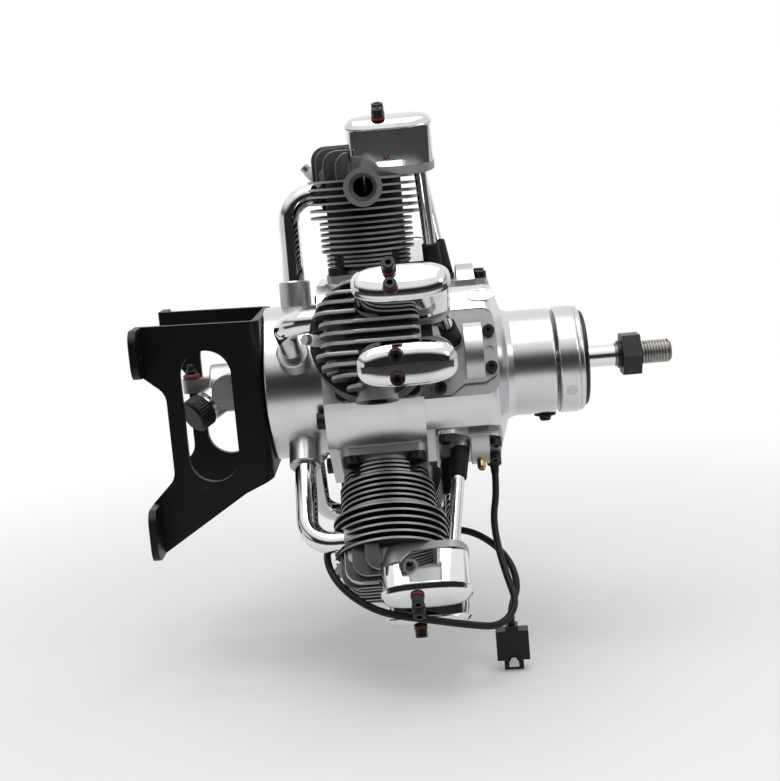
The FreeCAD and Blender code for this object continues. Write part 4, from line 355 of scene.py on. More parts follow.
chrome = {
    "colour": (0.78, 0.785, 0.795),
    "haze": (0.66, 0.665, 0.68),
    "hazeScale": 45,
    "hazeColourRange": (0.45, 0.75),
    "hazeRoughRange": (0.4, 0.8),
    "scratchScale": (200, 2000, 300),
    "waveScale": 140,
    "roughness": 0.035,
    "hazeRoughness": 0.05,
    "scratchRoughness": 0.015,
    "bump": (0.00008, 0.25),
}


def chromeBuild(maker):
    place = maker.place()
    haze = maker.noise(place, chrome["hazeScale"])
    scratches = maker.streaks(chrome["scratchScale"])
    waves = maker.noise(place, chrome["waveScale"], 1.0)
    hazy = haze.ramp(*chrome["hazeRoughRange"]) * chrome["hazeRoughness"]
    return {
        "Base Color": maker.mix(haze.ramp(*chrome["hazeColourRange"]), chrome["colour"], chrome["haze"]),
        "Roughness": chrome["roughness"] + hazy + scratches * chrome["scratchRoughness"],
        "Normal": maker.bump(waves, *chrome["bump"]),
    }


# Ground steel of the plain parts

steel = {
    "colour": (0.58, 0.585, 0.6),
    "shade": (0.44, 0.445, 0.46),
    "cloudScale": 160,
    "markScale": (3000, 60, 60),
    "roughness": 0.2,
    "cloudRoughness": 0.12,
    "markRoughness": 0.06,
    "bump": (0.00001, 0.5),
}


def steelBuild(maker):
    marks = maker.streaks(steel["markScale"])
    cloud = maker.noise(maker.place(), steel["cloudScale"])
    rough = steel["roughness"] + cloud * steel["cloudRoughness"] + marks * steel["markRoughness"]
    return {
        "Base Color": maker.mix(cloud, steel["colour"], steel["shade"]),
        "Roughness": rough,
        "Normal": maker.bump(marks, *steel["bump"]),
    }


# Polished shaft, darker where it is threaded

shaft = {
    "colour": (0.8, 0.8, 0.81),
    "threadColour": (0.2, 0.19, 0.18),
    "threadFrom": (0.1018, 0.1022),
    "roughness": 0.1,
    "markRoughness": 0.08,
    "threadRoughness": 0.2,
    "bump": (0.00001, 0.5),
}


def shaftBuild(maker):
    along, side, up = maker.parts(maker.place(engine["crankCentre"]))
    threaded = along.ramp(*shaft["threadFrom"])
    marks = maker.streaks(steel["markScale"])
    rough = shaft["roughness"] + marks * shaft["markRoughness"] + threaded * shaft["threadRoughness"]
    return {
        "Base Color": maker.mix(threaded, shaft["colour"], shaft["threadColour"]),
        "Roughness": rough,
        "Normal": maker.bump(marks, *shaft["bump"]),
    }


# Dark thread: darker and browner in its roots

cutThread = {
    "root": (0.06, 0.045, 0.035),
    "crest": (0.5, 0.49, 0.47),
    "grime": (0.3, 0.28, 0.25),
    "crestFrom": (0.0045, 0.005),
    "grimeScale": 500,
    "roughness": 0.3,
    "grimeRoughness": 0.15,
    "bump": (0.00001, 0.4),
}


def threadBuild(maker):
    place = maker.place(engine["crankCentre"])
    along, side, up = maker.parts(place)
    crest = ((side * side + up * up) ** 0.5).ramp(*cutThread["crestFrom"])
    grime = maker.noise(place, cutThread["grimeScale"])
    worn = maker.mix(grime, cutThread["crest"], cutThread["grime"])
    return {
        "Base Color": maker.mix(crest, cutThread["root"], worn),
        "Roughness": cutThread["roughness"] + grime * cutThread["grimeRoughness"],
        "Normal": maker.bump(grime, *cutThread["bump"]),
    }


# Black oxide of the screws and the nut, worn lighter here and there

oxide = {
    "colour": (0.010, 0.010, 0.011),
    "worn": (0.035, 0.034, 0.033),
    "wearScale": 420,
    "wearFrom": (0.55, 0.75),
    "knurlScale": 2600,
    "roughness": 0.3,
    "wearRoughness": 0.18,
    "bump": (0.00002, 0.5),
}


def oxideBuild(maker):
    place = maker.place()
    wear = maker.noise(place, oxide["wearScale"], 4.0)
    knurl = maker.noise(place, oxide["knurlScale"], 2.0)
    return {
        "Base Color": maker.mix(wear.ramp(*oxide["wearFrom"]), oxide["colour"], oxide["worn"]),
        "Roughness": oxide["roughness"] + wear * oxide["wearRoughness"],
        "Normal": maker.bump(knurl, *oxide["bump"]),
    }


# Black satin coat of the mount: fine orange peel, faint rubs

coat = {
    "colour": (0.004, 0.004, 0.0045),
    "worn": (0.010, 0.010, 0.011),
    "peelScale": 1500,
    "rubScale": (70, 70, 260),
    "rubFrom": (0.6, 0.78),
    "roughness": 0.33,
    "rubRoughness": 0.14,
    "bump": (0.00002, 0.6),
}


def coatBuild(maker):
    peel = maker.noise(maker.place(), coat["peelScale"])
    rubs = maker.streaks(coat["rubScale"], detail=5.0)
    return {
        "Base Color": maker.mix(rubs.ramp(*coat["rubFrom"]), coat["colour"], coat["worn"]),
        "Roughness": coat["roughness"] + rubs * coat["rubRoughness"],
        "Normal": maker.bump(peel, *coat["bump"]),
    }


# Black drive ring with fine turning rings on its face

driveRing = {
    "colour": (0.006, 0.006, 0.007),
    "shade": (0.013, 0.013, 0.014),
    "cloudScale": 300,
    "ringScale": (3000, 20, 20),
    "roughness": 0.3,
    "cloudRoughness": 0.14,
    "bump": (0.00002, 0.6),
}


def ringBuild(maker):
    rings = maker.streaks(driveRing["ringScale"], engine["crankCentre"])
    cloud = maker.noise(maker.place(engine["crankCentre"]), driveRing["cloudScale"])
    return {
        "Base Color": maker.mix(cloud, driveRing["colour"], driveRing["shade"]),
        "Roughness": driveRing["roughness"] + cloud * driveRing["cloudRoughness"],
        "Normal": maker.bump(rings, *driveRing["bump"]),
    }


# Black rubber of the boots and the strain relief, a little dusty

rubber = {
    "colour": (0.006, 0.006, 0.0065),
    "dust": (0.03, 0.03, 0.031),
    "dustScale": 240,
    "dustFrom": (0.5, 0.8),
    "grainScale": 1800,
    "roughness": 0.5,
    "dustRoughness": 0.2,
    "bump": (0.00002, 0.5),
}


def rubberBuild(maker):
    place = maker.place()
    dust = maker.noise(place, rubber["dustScale"], 4.0)
    grain = maker.noise(place, rubber["grainScale"], 2.0)
    return {
        "Base Color": maker.mix(dust.ramp(*rubber["dustFrom"]), rubber["colour"], rubber["dust"]),
        "Roughness": rubber["roughness"] + dust * rubber["dustRoughness"],
        "Normal": maker.bump(grain, *rubber["bump"]),
    }


# Small finishes that one noise is enough for

redFibre = {
    "colour": (0.20, 0.012, 0.010),
    "shade": (0.13, 0.008, 0.007),
    "scale": 1400,
    "roughness": 0.45,
    "spread": 0.2,
    "bump": (0.00002, 0.4),
}
whiteCeramic = {
    "colour": (0.86, 0.85, 0.82),
    "shade": (0.78, 0.76, 0.72),
    "scale": 260,
    "roughness": 0.12,
    "spread": 0.08,
    "bump": (0.00002, 0.3),
}
blackPlastic = {
    "colour": (0.005, 0.005, 0.0055),
    "shade": (0.011, 0.011, 0.012),
    "scale": 1300,
    "roughness": 0.34,
    "spread": 0.14,
    "bump": (0.00002, 0.5),
}


def grainyBuild(look):
    def build(maker):
        grain = maker.noise(maker.place(), look["scale"])
        return {
            "Base Color": maker.mix(grain, look["colour"], look["shade"]),
            "Roughness": look["roughness"] + grain * look["spread"],
            "Normal": maker.bump(grain, *look["bump"]),
        }
    return build


# Turned brass of the drain nipple

brass = {
    "colour": (0.70, 0.52, 0.22),
    "shade": (0.58, 0.40, 0.16),
    "cloudScale": 300,
    "markScale": (400, 400, 3000),
    "roughness": 0.2,
    "cloudRoughness": 0.12,
    "bump": (0.00001, 0.5),
}


def brassBuild(maker):
    cloud = maker.noise(maker.place(), brass["cloudScale"])
    marks = maker.streaks(brass["markScale"])
    return {
        "Base Color": maker.mix(cloud, brass["colour"], brass["shade"]),
        "Roughness": brass["roughness"] + cloud * brass["cloudRoughness"],
        "Normal": maker.bump(marks, *brass["bump"]),
    }


# Finishes, and the nodes that wear them; the rest is plain ground steel

castFinish = [newFinish(f"castCylinder{number}", metal, castBuild(angle))
              for number, angle in enumerate(engine["cylinderAngles"], 1)]
ribFinish = [newFinish(f"castRibs{number}", metal, ribBuild(angle))
             for number, angle in enumerate(engine["cylinderAngles"], 1)]
turnedFinish = newFinish("turnedAluminium", metal, turnedBuild)
milledFinish = newFinish("milledAluminium", metal, milledBuild)
chromeFinish = newFinish("polishedChrome", metal, chromeBuild)
steelFinish = newFinish("groundSteel", metal, steelBuild)
shaftFinish = newFinish("polishedShaft", metal, shaftBuild)
threadFinish = newFinish("cutThread", metal, threadBuild)
oxideFinish = newFinish("blackOxide", {"Metallic": 0.35}, oxideBuild)
coatFinish = newFinish("blackCoat", dull, coatBuild)
ringFinish = newFinish("blackRing", {"Metallic": 0.3}, ringBuild)
rubberFinish = newFinish("blackRubber", dull, rubberBuild)
redFinish = newFinish("redFibre", plain, grainyBuild(redFibre))
ceramicFinish = newFinish("whiteCeramic", plain, grainyBuild(whiteCeramic))
brassFinish = newFinish("turnedBrass", metal, brassBuild)
plasticFinish = newFinish("blackPlastic", dull, grainyBuild(blackPlastic))

nodeFinishes = {
    turnedFinish: ["crankcase", "front_case", "rear_cover", "induction_housing", "prop_driver"],
    milledFinish: ["tappet_blocks", "intake_collars", "pistons", "carburettor_body"],
    chromeFinish: ["rocker_covers", "intake_pipes", "pushrod_tubes", "air_tube"],
    shaftFinish: ["crankshaft"],
    oxideFinish: ["cover_screws", "cylinder_screws", "tappet_block_screws", "mount_screws", "rear_screws",
                  "prop_nut", "mixture_needle"],
    coatFinish: ["engine_mount"],
    ringFinish: ["drive_ring"],
    rubberFinish: ["pushrod_boots", "strain_relief"],
    redFinish: ["cover_washers", "needle_seal"],
    ceramicFinish: ["plug_insulators"],
    brassFinish: ["drain_nipple"],
    plasticFinish: ["cord_connector", "ignition_sensor", "air_cap"],
}


def dressNodes():
    chosen = {name: finish for finish, names in nodeFinishes.items() for name in names}
    for number, finish in enumerate(castFinish, 1):
        chosen[f"cylinder_{number}"] = finish
    for name, node in nodes.items():
        node.data.materials.clear()
        node.data.materials.append(chosen.get(name, steelFinish))


dressNodes()
print("finishes made:", len(bpy.data.materials))


# Modelling helpers

def clearSelection():
    bpy.ops.object.select_all(action="DESELECT")


def takeUp(piece):
    # make this one piece the selected, active one
    clearSelection()
    piece.select_set(True)
    bpy.context.view_layer.objects.active = piece


def dropModifiers(piece):
    takeUp(piece)
    for modifier in list(piece.modifiers):
        bpy.ops.object.modifier_apply(modifier=modifier.name)


def enterEdit(piece):
    takeUp(piece)
    bpy.ops.object.mode_set(mode="EDIT")


def leaveEdit():
    bpy.ops.object.mode_set(mode="OBJECT")


def inEdit(piece, facesWhere=None, edgesWhere=None):
    # enter edit mode with only the wanted faces or edges selected, chosen by their place
    enterEdit(piece)
    bpy.ops.mesh.select_mode(type="FACE" if facesWhere else "EDGE")
    bpy.ops.mesh.select_all(action="DESELECT")
    leaveEdit()
    if facesWhere:
        for face in piece.data.polygons:
            face.select = facesWhere(face)
    if edgesWhere:
        points = piece.data.vertices
        for edge in piece.data.edges:
            edge.select = edgesWhere(points[edge.vertices[0]].co, points[edge.vertices[1]].co)
    bpy.ops.object.mode_set(mode="EDIT")


def endEdit():
    # turn every face outward, then leave edit mode
    bpy.ops.mesh.select_all(action="SELECT")
    bpy.ops.mesh.normals_make_consistent(inside=False)
    leaveEdit()


def lift(height):
    bpy.ops.transform.translate(value=(0, 0, height))


def raiseFaces(height):
    bpy.ops.mesh.extrude_region_move(TRANSFORM_OT_translate={"value": (0, 0, height)})


def roundEdges(piece, width, segments, sharper=30):
    # bevel the edges that are sharper than the given angle
    edge = piece.modifiers.new("edge", "BEVEL")
    edge.width = width
    edge.segments = segments
    edge.limit_method = "ANGLE"
    edge.angle_limit = math.radians(sharper)
    dropModifiers(piece)


def settle(piece):
    # put the piece's place into its mesh
    takeUp(piece)
    bpy.ops.object.transform_apply(location=True, rotation=True, scale=True)


def copyTo(piece, matrix):
    twin = piece.copy()
    twin.data = piece.data.copy()
    bpy.context.scene.collection.objects.link(twin)
    twin.data.transform(matrix)
    return twin


def joinAll(pieces, name):
    clearSelection()
    for piece in pieces:
        piece.select_set(True)
    bpy.context.view_layer.objects.active = pieces[0]
    bpy.ops.object.join()
    whole = bpy.context.object
    whole.name = name
    whole.data.name = name
    return whole


def dress(piece, finish, body="engine", angle=35):
    piece.data.materials.clear()
    piece.data.materials.append(finish)
    takeUp(piece)
    bpy.ops.object.shade_smooth_by_angle(angle=math.radians(angle))
    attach(piece, body)


def atCylinder(angle):
    # a cylinder's own frame: x along the shaft, y to its side, z out from the crank axis
    return Matrix.Translation(engine["crankCentre"]) @ Matrix.Rotation(math.radians(angle), 4, "X")


# Rocker covers: pressed, chromed, with a raised bead under the domed crown

rockerCover = {
    "lean": 16.5,
    "middle": 0.0129,
    "crownSide": 0.0162,
    "crownHeight": 0.1094,
    "halfLength": 0.0178,
    "halfWidth": 0.0075,
    "squareness": 2.9,
    "outlinePoints": 72,
    "seatBack": -0.0144,
    "seatFront": -0.0202,
    "stepFrom": -0.0105,
    "stepTo": -0.0045,
    "crownInset": 0.0012,
    "crownRise": 0.00008,
    "wall": 0.0006,
    "smoothAngle": 50,
    # walls up to the bead, the bead, then the crown in ever smaller ovals: (height, inset from the outline)
    "rings": [
        (-0.0044, 0.0004), (-0.0040, 0.0005), (-0.0037, -0.0001), (-0.0033, -0.0003), (-0.0029, -0.0001),
        (-0.0026, 0.0003), (-0.0020, 0.0006), (-0.0013, 0.0013), (-0.0007, 0.0022), (-0.0003, 0.0033),
        (-0.0001, 0.0046),
    ],
}


def atBox(angle, side):
    # a rocker box's own frame: origin on the crown, leaning outward
    lean = Matrix.Rotation(math.radians(-side * rockerCover["lean"]), 4, "X")
    place = Vector((rockerCover["middle"], side * rockerCover["crownSide"], rockerCover["crownHeight"]))
    return atCylinder(angle) @ Matrix.Translation(place) @ lean


def ovalPoint(number, inset=0):
    # one point of the cover's squarish oval outline
    turn = 2 * math.pi * number / rockerCover["outlinePoints"]
    along = math.cos(turn)
    side = math.sin(turn)
    power = 2 / rockerCover["squareness"]
    return (math.copysign(abs(along) ** power, along) * (rockerCover["halfLength"] - inset),
            math.copysign(abs(side) ** power, side) * (rockerCover["halfWidth"] - inset))


def seatHeight(across):
    # the cover's lower edge steps down from its back to its front
    step = (across - rockerCover["stepFrom"]) / (rockerCover["stepTo"] - rockerCover["stepFrom"])
    step = min(max(step, 0), 1)
    smooth = step * step * (3 - 2 * step)
    return rockerCover["seatBack"] + (rockerCover["seatFront"] - rockerCover["seatBack"]) * smooth


def makeCover():
    bpy.ops.mesh.primitive_circle_add(vertices=rockerCover["outlinePoints"], radius=1.0, fill_type="NOTHING",
                                      location=(0, 0, 0))
    cover = bpy.context.object
    cover.name = "rockerCovers"
    for number, point in enumerate(cover.data.vertices):
        across, side = ovalPoint(number)
        point.co = (across, side, seatHeight(across))
    inEdit(cover, edgesWhere=lambda one, two: True)
    for height, inset in rockerCover["rings"]:
        bpy.ops.mesh.extrude_edges_move()
        leaveEdit()
        chosen = [point for point in cover.data.vertices if point.select]
        for number, point in enumerate(chosen):
            point.co = (*ovalPoint(number, inset), height)
        enterEdit(cover)
    bpy.ops.mesh.edge_face_add()
    bpy.ops.mesh.inset(thickness=rockerCover["crownInset"])
    lift(rockerCover["crownRise"])
    endEdit()
    wall = cover.modifiers.new("wall", "SOLIDIFY")
    wall.thickness = rockerCover["wall"]
    wall.offset = -1
    dropModifiers(cover)
    return cover


def placeCovers():
    pattern = makeCover()
    places = [atBox(angle, side) for angle in engine["cylinderAngles"] for side in (1, -1)]
    copies = [copyTo(pattern, place) for place in places]
    bpy.data.objects.remove(pattern)
    covers = joinAll(copies, "rockerCovers")
    dress(covers, chromeFinish, angle=rockerCover["smoothAngle"])
    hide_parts("rocker_covers")


placeCovers()
print("rocker covers made")


# Upright ribs over each head: they follow the round of the head fins and run on between the covers

headRib = {
    "rows": range(-5, 6),
    "valleyRows": 2,
    "pitch": 0.0039,
    "thickness": 0.0015,
    "foot": 0.0846,
    "top": 0.0993,
    "stepDown": 0.0011,
    "reach": 0.0220,
    "cornerRound": 0.0062,
    "cornerRoom": 0.001,
    "cornerSegments": 8,
    "valleyRound": 0.003,
    "valleySegments": 5,
    "outerEnd": -0.0045,
    "valleyStart": -0.0098,
    "valleyEnd": 0.0186,
    "edgeRound": 0.00035,
    "edgeSegments": 3,
    "edgeAngle": 50,
}


def makeRib(row):
    # the rows between the covers run on to the front, the outer ones end before them and step down
    side = row * headRib["pitch"]
    inner = abs(row) < headRib["valleyRows"]
    start = headRib["valleyStart"] if inner else -math.sqrt(headRib["reach"] ** 2 - side ** 2)
    finish = headRib["valleyEnd"] if inner else headRib["outerEnd"]
    foot = headRib["foot"]
    top = headRib["top"] - max(abs(row) - headRib["valleyRows"], 0) * headRib["stepDown"]
    bpy.ops.mesh.primitive_cube_add(size=1.0, location=((start + finish) / 2, side, (top + foot) / 2))
    rib = bpy.context.object
    rib.scale = (finish - start, headRib["thickness"], top - foot)
    settle(rib)

    def onTop(one, two):
        return min(one.z, two.z) > top - slack["near"]

    def atStart(one, two):
        return onTop(one, two) and max(one.x, two.x) < start + slack["near"]

    def atFinish(one, two):
        return onTop(one, two) and min(one.x, two.x) > finish - slack["near"]

    inEdit(rib, edgesWhere=atStart)
    corner = min(headRib["cornerRound"], top - foot - headRib["cornerRoom"])
    bpy.ops.mesh.bevel(offset=corner, segments=headRib["cornerSegments"])
    leaveEdit()
    if inner:
        inEdit(rib, edgesWhere=atFinish)
        bpy.ops.mesh.bevel(offset=headRib["valleyRound"], segments=headRib["valleySegments"])
        leaveEdit()
    roundEdges(rib, headRib["edgeRound"], headRib["edgeSegments"], headRib["edgeAngle"])
    return rib


def placeRibs():
    for number, angle in enumerate(engine["cylinderAngles"], 1):
        ribs = joinAll([makeRib(row) for row in headRib["rows"]], f"headRibs{number}")
        settle(ribs)
        ribs.data.transform(atCylinder(angle))
        dress(ribs, ribFinish[number - 1])


placeRibs()
print("head ribs made")


# Thread on the propeller shaft's end: one coarse helix over the shaft, from the nut to the tip

shaftThread = {
    "start": 0.2112,
    "tip": 0.2243,
    "pitch": 0.00125,
    "crest": 0.00508,
    "root": 0.0047,
    "crestFrom": 0.38,
    "crestTo": 0.62,
    "steps": 40,
}


def makeThread():
    pitch = shaftThread["pitch"]
    root = shaftThread["root"]
    crest = shaftThread["crest"]
    bpy.ops.mesh.primitive_plane_add(size=1.0, location=(0, 0, 0))
    thread = bpy.context.object
    thread.name = "shaftThread"
    inEdit(thread, edgesWhere=lambda one, two: True)
    bpy.ops.mesh.delete(type="ONLY_FACE")
    leaveEdit()
    # one pitch from root over the crest to the next root, in the plane y = 0 of the shaft's own frame
    corners = [(0, root), (pitch, root), (pitch * shaftThread["crestFrom"], crest),
               (pitch * shaftThread["crestTo"], crest)]
    for point, (along, out) in zip(thread.data.vertices, corners):
        point.co = (along, 0, out)
    inEdit(thread, edgesWhere=lambda one, two: max(one.z, two.z) < crest - slack["merge"])
    bpy.ops.mesh.delete(type="EDGE")
    leaveEdit()
    screw = thread.modifiers.new("turns", "SCREW")
    screw.axis = "X"
    screw.angle = math.radians(360)
    screw.screw_offset = pitch
    screw.iterations = round((shaftThread["tip"] - shaftThread["start"]) / pitch) - 1
    screw.steps = shaftThread["steps"]
    screw.render_steps = shaftThread["steps"]
    screw.use_merge_vertices = True
    screw.merge_threshold = slack["merge"]
    dropModifiers(thread)
    thread.data.transform(Matrix.Translation((shaftThread["start"], 0, engine["crankCentre"].z)))
    inEdit(thread, facesWhere=lambda face: True)
    bpy.ops.mesh.remove_doubles(threshold=slack["merge"])
    endEdit()
    dress(thread, threadFinish, body="crank")


makeThread()
print("shaft thread made")


# Badge: a bare raised oval on the front case

badge = {
    "angle": 36,
    "along": 0.0450,
    "radius": 0.0411,
    "sink": 0.0003,
    "halfLength": 0.0062,
    "halfWidth": 0.0036,
    "outlinePoints": 64,
    "rim": 0.0007,
    "height": 0.0006,
    "slope": 0.0003,
    "fieldDepth": 0.6,
    "fieldInset": 0.001,
    "fieldRise": 0.0001,
    "edgeRound": 0.00012,
}


def makeBadge():
    bpy.ops.mesh.primitive_circle_add(vertices=badge["outlinePoints"], radius=1.0, fill_type="NGON",
                                      location=(0, 0, 0))
    plate = bpy.context.object
    plate.name = "ovalBadge"
    plate.scale = (badge["halfLength"], badge["halfWidth"], 1)
    settle(plate)
    inEdit(plate, facesWhere=lambda face: True)
    raiseFaces(badge["height"])
    bpy.ops.mesh.inset(thickness=badge["rim"])
    bpy.ops.mesh.inset(thickness=badge["slope"])
    lift(-badge["height"] * badge["fieldDepth"])
    bpy.ops.mesh.inset(thickness=badge["fieldInset"])
    lift(badge["fieldRise"])
    endEdit()
    roundEdges(plate, badge["edgeRound"], 2)
    seat = Matrix.Translation((badge["along"], 0, badge["radius"] - badge["sink"]))
    plate.data.transform(atCylinder(badge["angle"]) @ seat)
    dress(plate, turnedFinish)


makeBadge()
print("badge made")


# Air cap: a knurled black cap with a recessed face over the air tube's mouth

airCap = {
    "radius": 0.0074,
    "depth": 0.0062,
    "grooves": 36,
    "grooveShare": 0.96,
    "faceInset": 0.0016,
    "faceSink": 0.0009,
    "knobInset": 0.0015,
    "knobRise": 0.0005,
    "bevel": 0.0004,
}


def makeAirCap():
    low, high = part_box("air_cap")
    tubeLow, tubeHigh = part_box("air_tube")
    middle = (low + high) / 2
    way = (middle - (tubeLow + tubeHigh) / 2).normalized()
    bpy.ops.mesh.primitive_cylinder_add(vertices=airCap["grooves"] * 2, radius=airCap["radius"],
                                        depth=airCap["depth"], location=(0, 0, 0))
    cap = bpy.context.object
    cap.name = "airCapCover"
    # each point has its twin at the other end, so every second pair lies in a groove
    for number, point in enumerate(cap.data.vertices):
        if (number // 2) % 2:
            point.co.x *= airCap["grooveShare"]
            point.co.y *= airCap["grooveShare"]
    inEdit(cap, facesWhere=lambda face: face.normal.z > 0.9)
    bpy.ops.mesh.inset(thickness=airCap["faceInset"])
    raiseFaces(-airCap["faceSink"])
    bpy.ops.mesh.inset(thickness=airCap["knobInset"])
    bpy.ops.mesh.inset(thickness=airCap["knobInset"])
    raiseFaces(airCap["knobRise"])
    leaveEdit()
    roundEdges(cap, airCap["bevel"], 2)
    cap.data.transform(Matrix.Translation(middle) @ way.to_track_quat("Z", "Y").to_matrix().to_4x4())
    dress(cap, plasticFinish)


makeAirCap()
print("air cap made")


# Driver lip: the bright bevelled edge of the propeller driver round the rear of the black ring

driverLip = {
    "start": 0.1830,
    "finish": 0.1850,
    "outer": 0.0225,
    "inner": 0.0206,
    "outlinePoints": 128,
    "bevel": 0.0009,
    "bevelSegments": 4,
}


def makeDriverLip():
    outer = driverLip["outer"]
    width = driverLip["finish"] - driverLip["start"]
    middle = (driverLip["finish"] + driverLip["start"]) / 2
    bpy.ops.mesh.primitive_cylinder_add(vertices=driverLip["outlinePoints"], radius=outer, depth=width,
                                        location=(0, 0, 0))
    lip = bpy.context.object
    lip.name = "driverLip"
    inEdit(lip, facesWhere=lambda face: abs(face.normal.z) > 0.9)
    bpy.ops.mesh.inset(thickness=outer - driverLip["inner"])
    bpy.ops.mesh.bridge_edge_loops()
    endEdit()
    inEdit(lip, edgesWhere=lambda one, two: min(one.z, two.z) > width / 2 - slack["merge"]
           and min(one.xy.length, two.xy.length) > outer - slack["near"])
    bpy.ops.mesh.bevel(offset=driverLip["bevel"], segments=driverLip["bevelSegments"])
    leaveEdit()
    turn = Matrix.Rotation(math.radians(90), 4, "Y")
    lip.data.transform(Matrix.Translation((middle, 0, engine["crankCentre"].z)) @ turn)
    dress(lip, turnedFinish, body="crank")


makeDriverLip()
print("driver lip made")


# Sensor cord: one limp cord from the strain relief, once round the third cylinder, to the connector

sensorCord = {
    "length": 0.3009,
    "diameter": 0.003,
    # millimetres from the crank's centre
    "route": [
        (46.6, -4.4, -46.9), (46.4, -8.2, -54.6), (43.6, -18, -63.5), (44.2, -30, -73.5), (46.4, -40, -83),
        (49.4, -50, -92.5), (41.5, -58, -98.5), (28.5, -64, -94.5), (12.5, -68.5, -89.5), (-4, -68.3, -86),
        (-15, -65.6, -80.4), (-22.8, -61.5, -73.4), (-26.6, -53.9, -67.1), (-26.4, -41.9, -63.8),
        (-23.5, -27.5, -63.4), (-9, -18.2, -68.4), (6, -13.5, -69), (21, -11.5, -68.2), (33, -14.5, -68.8),
        (42.5, -22.5, -73), (48.8, -32.5, -79), (50.8, -41, -87.4), (46.4, -45.2, -95.5),
        (46.4, -45.2, -102),
    ],
}


def makeCord():
    curve = bpy.data.curves.new("sensorCord", "CURVE")
    curve.dimensions = "3D"
    curve.bevel_depth = sensorCord["diameter"] / 2
    curve.bevel_resolution = 5
    curve.resolution_u = 16
    curve.use_fill_caps = True
    line = curve.splines.new("NURBS")
    points = [engine["crankCentre"] + Vector(point) / 1000 for point in sensorCord["route"]]
    line.points.add(len(points) - 1)
    for spot, point in zip(line.points, points):
        spot.co = (*point, 1.0)
    line.order_u = 3
    line.use_endpoint_u = True
    cord = bpy.data.objects.new("sensorCord", curve)
    bpy.context.scene.collection.objects.link(cord)
    curve.materials.append(plasticFinish)
    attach(cord, "engine")
    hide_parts("sensor_cord")


makeCord()
print("cord laid")


# Floor: white to the camera further out; what metal mirrors of it darkens away from the engine

studio = {
    "white": (1, 1, 1, 1),
    "floorMiddle": 0.1,
    "floorGap": 0.001,
    "floorSize": 6.0,
    "floorColour": (0.86, 0.86, 0.86),
    "farColour": (0.07, 0.07, 0.075),
    "floorRoughness": 0.8,
    "floorSpecular": 0.1,
    "frontRange": (0.0, 0.2),
    "darkRange": (0.25, 0.5),
    "glowRange": (0.1, 0.5),
    "glow": (0.22, 1.0),
    "mirroredGlow": 0.35,
}


def makeFloor():
    lowest = cadBox[0][2] - studio["floorGap"]
    bpy.ops.mesh.primitive_plane_add(size=studio["floorSize"], location=(studio["floorMiddle"], 0.0, lowest))
    floor = bpy.context.object
    floor.name = "studioFloor"
    material = bpy.data.materials.new("studioFloor")
    material.use_nodes = True
    maker = NodeMaker(material.node_tree)
    shader = material.node_tree.nodes["Principled BSDF"]
    across, deep, up = maker.parts(maker.place())
    reach = (across * across + deep * deep) ** 0.5
    light = maker.add("ShaderNodeLightPath")
    glossy = light["Is Glossy Ray"]
    dark = glossy * (0 - deep).ramp(*studio["frontRange"]) * reach.ramp(*studio["darkRange"])
    maker.feed(shader, {
        "Roughness": studio["floorRoughness"],
        "Specular IOR Level": studio["floorSpecular"],
        "Base Color": maker.mix(dark, studio["floorColour"], studio["farColour"]),
    })
    glow = maker.add("ShaderNodeEmission", values={"Color": studio["white"], "Strength": 1.0})["Emission"]
    seen = light["Is Camera Ray"] * reach.ramp(*studio["glowRange"], *studio["glow"])
    mirrored = glossy * (1 - dark) * studio["mirroredGlow"]
    mixed = maker.add("ShaderNodeMixShader", values={0: seen + mirrored, 2: glow})
    maker.feed(mixed.node, {1: Wire(maker, shader.outputs[0])})
    maker.feed(material.node_tree.nodes["Material Output"], {"Surface": mixed["Shader"]})
    floor.data.materials.append(material)


# Room: white to the camera, even grey for matt surfaces, and for metal a dark room with a big softbox
# overhead, a bright wall behind the engine and a window on either side

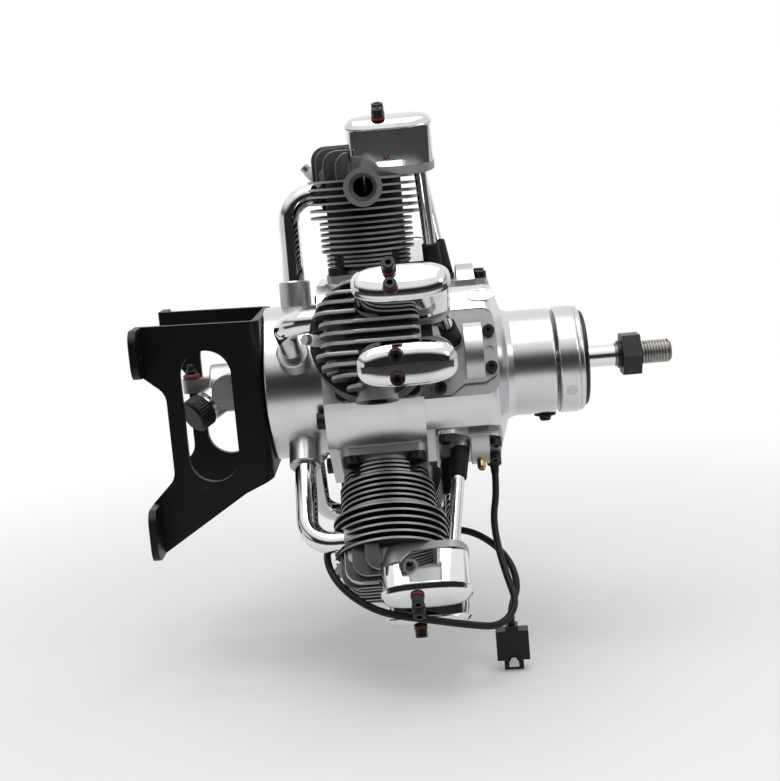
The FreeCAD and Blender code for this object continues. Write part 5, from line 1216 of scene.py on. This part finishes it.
room = {
    "grey": 0.022,
    "mattLight": 0.42,
    "overhead": (0.3, 0.66),
    "overheadPower": 0.95,
    "behind": (0.15, 0.55),
    "leftAcross": (0.72, 0.86),
    "leftBelow": (-0.4, -0.2),
    "leftPower": 0.7,
    "rightAcross": (0.66, 0.84),
    "rightAbove": (-0.12, 0.02),
    "rightBelow": (-0.45, -0.3),
    "rightPower": 0.6,
}


def makeWorld():
    world = bpy.data.worlds.new("studioWorld")
    bpy.context.scene.world = world
    world.use_nodes = True
    maker = NodeMaker(world.node_tree)
    across, deep, up = maker.parts(maker.add("ShaderNodeTexCoord")["Generated"])
    overhead = up.ramp(*room["overhead"])
    behind = deep.ramp(*room["behind"])
    left = (0 - across).ramp(*room["leftAcross"]) * (0 - up).ramp(*room["leftBelow"])
    rightHeight = up.ramp(*room["rightAbove"]) * (0 - up).ramp(*room["rightBelow"])
    right = across.ramp(*room["rightAcross"]) * rightHeight
    windows = left * room["leftPower"] + right * room["rightPower"]
    inFront = room["grey"] + (1 - overhead) * windows + overhead * room["overheadPower"]
    mirrored = inFront * (1 - behind) + behind
    light = maker.add("ShaderNodeLightPath")
    seen = light["Is Camera Ray"]
    glossy = light["Is Glossy Ray"]
    strength = seen + glossy * mirrored + (1 - seen) * (1 - glossy) * room["mattLight"]
    maker.feed(world.node_tree.nodes["Background"], {"Color": studio["white"], "Strength": strength})


lamps = {
    "topBox": {"place": (0.05, -0.12, 0.85), "size": 0.7, "power": 4.8},
    "sideBox": {"place": (0.75, -0.75, 0.6), "size": 0.35, "power": 1.5},
}


def makeLamps():
    for name, setting in lamps.items():
        data = bpy.data.lights.new(name, "AREA")
        data.size = setting["size"]
        data.energy = setting["power"]
        lamp = bpy.data.objects.new(name, data)
        bpy.context.scene.collection.objects.link(lamp)
        lamp.location = setting["place"]
        aim = engine["crankCentre"] - Vector(setting["place"])
        lamp.rotation_euler = aim.to_track_quat("-Z", "Y").to_euler()


makeFloor()
makeWorld()
makeLamps()
print("studio set")
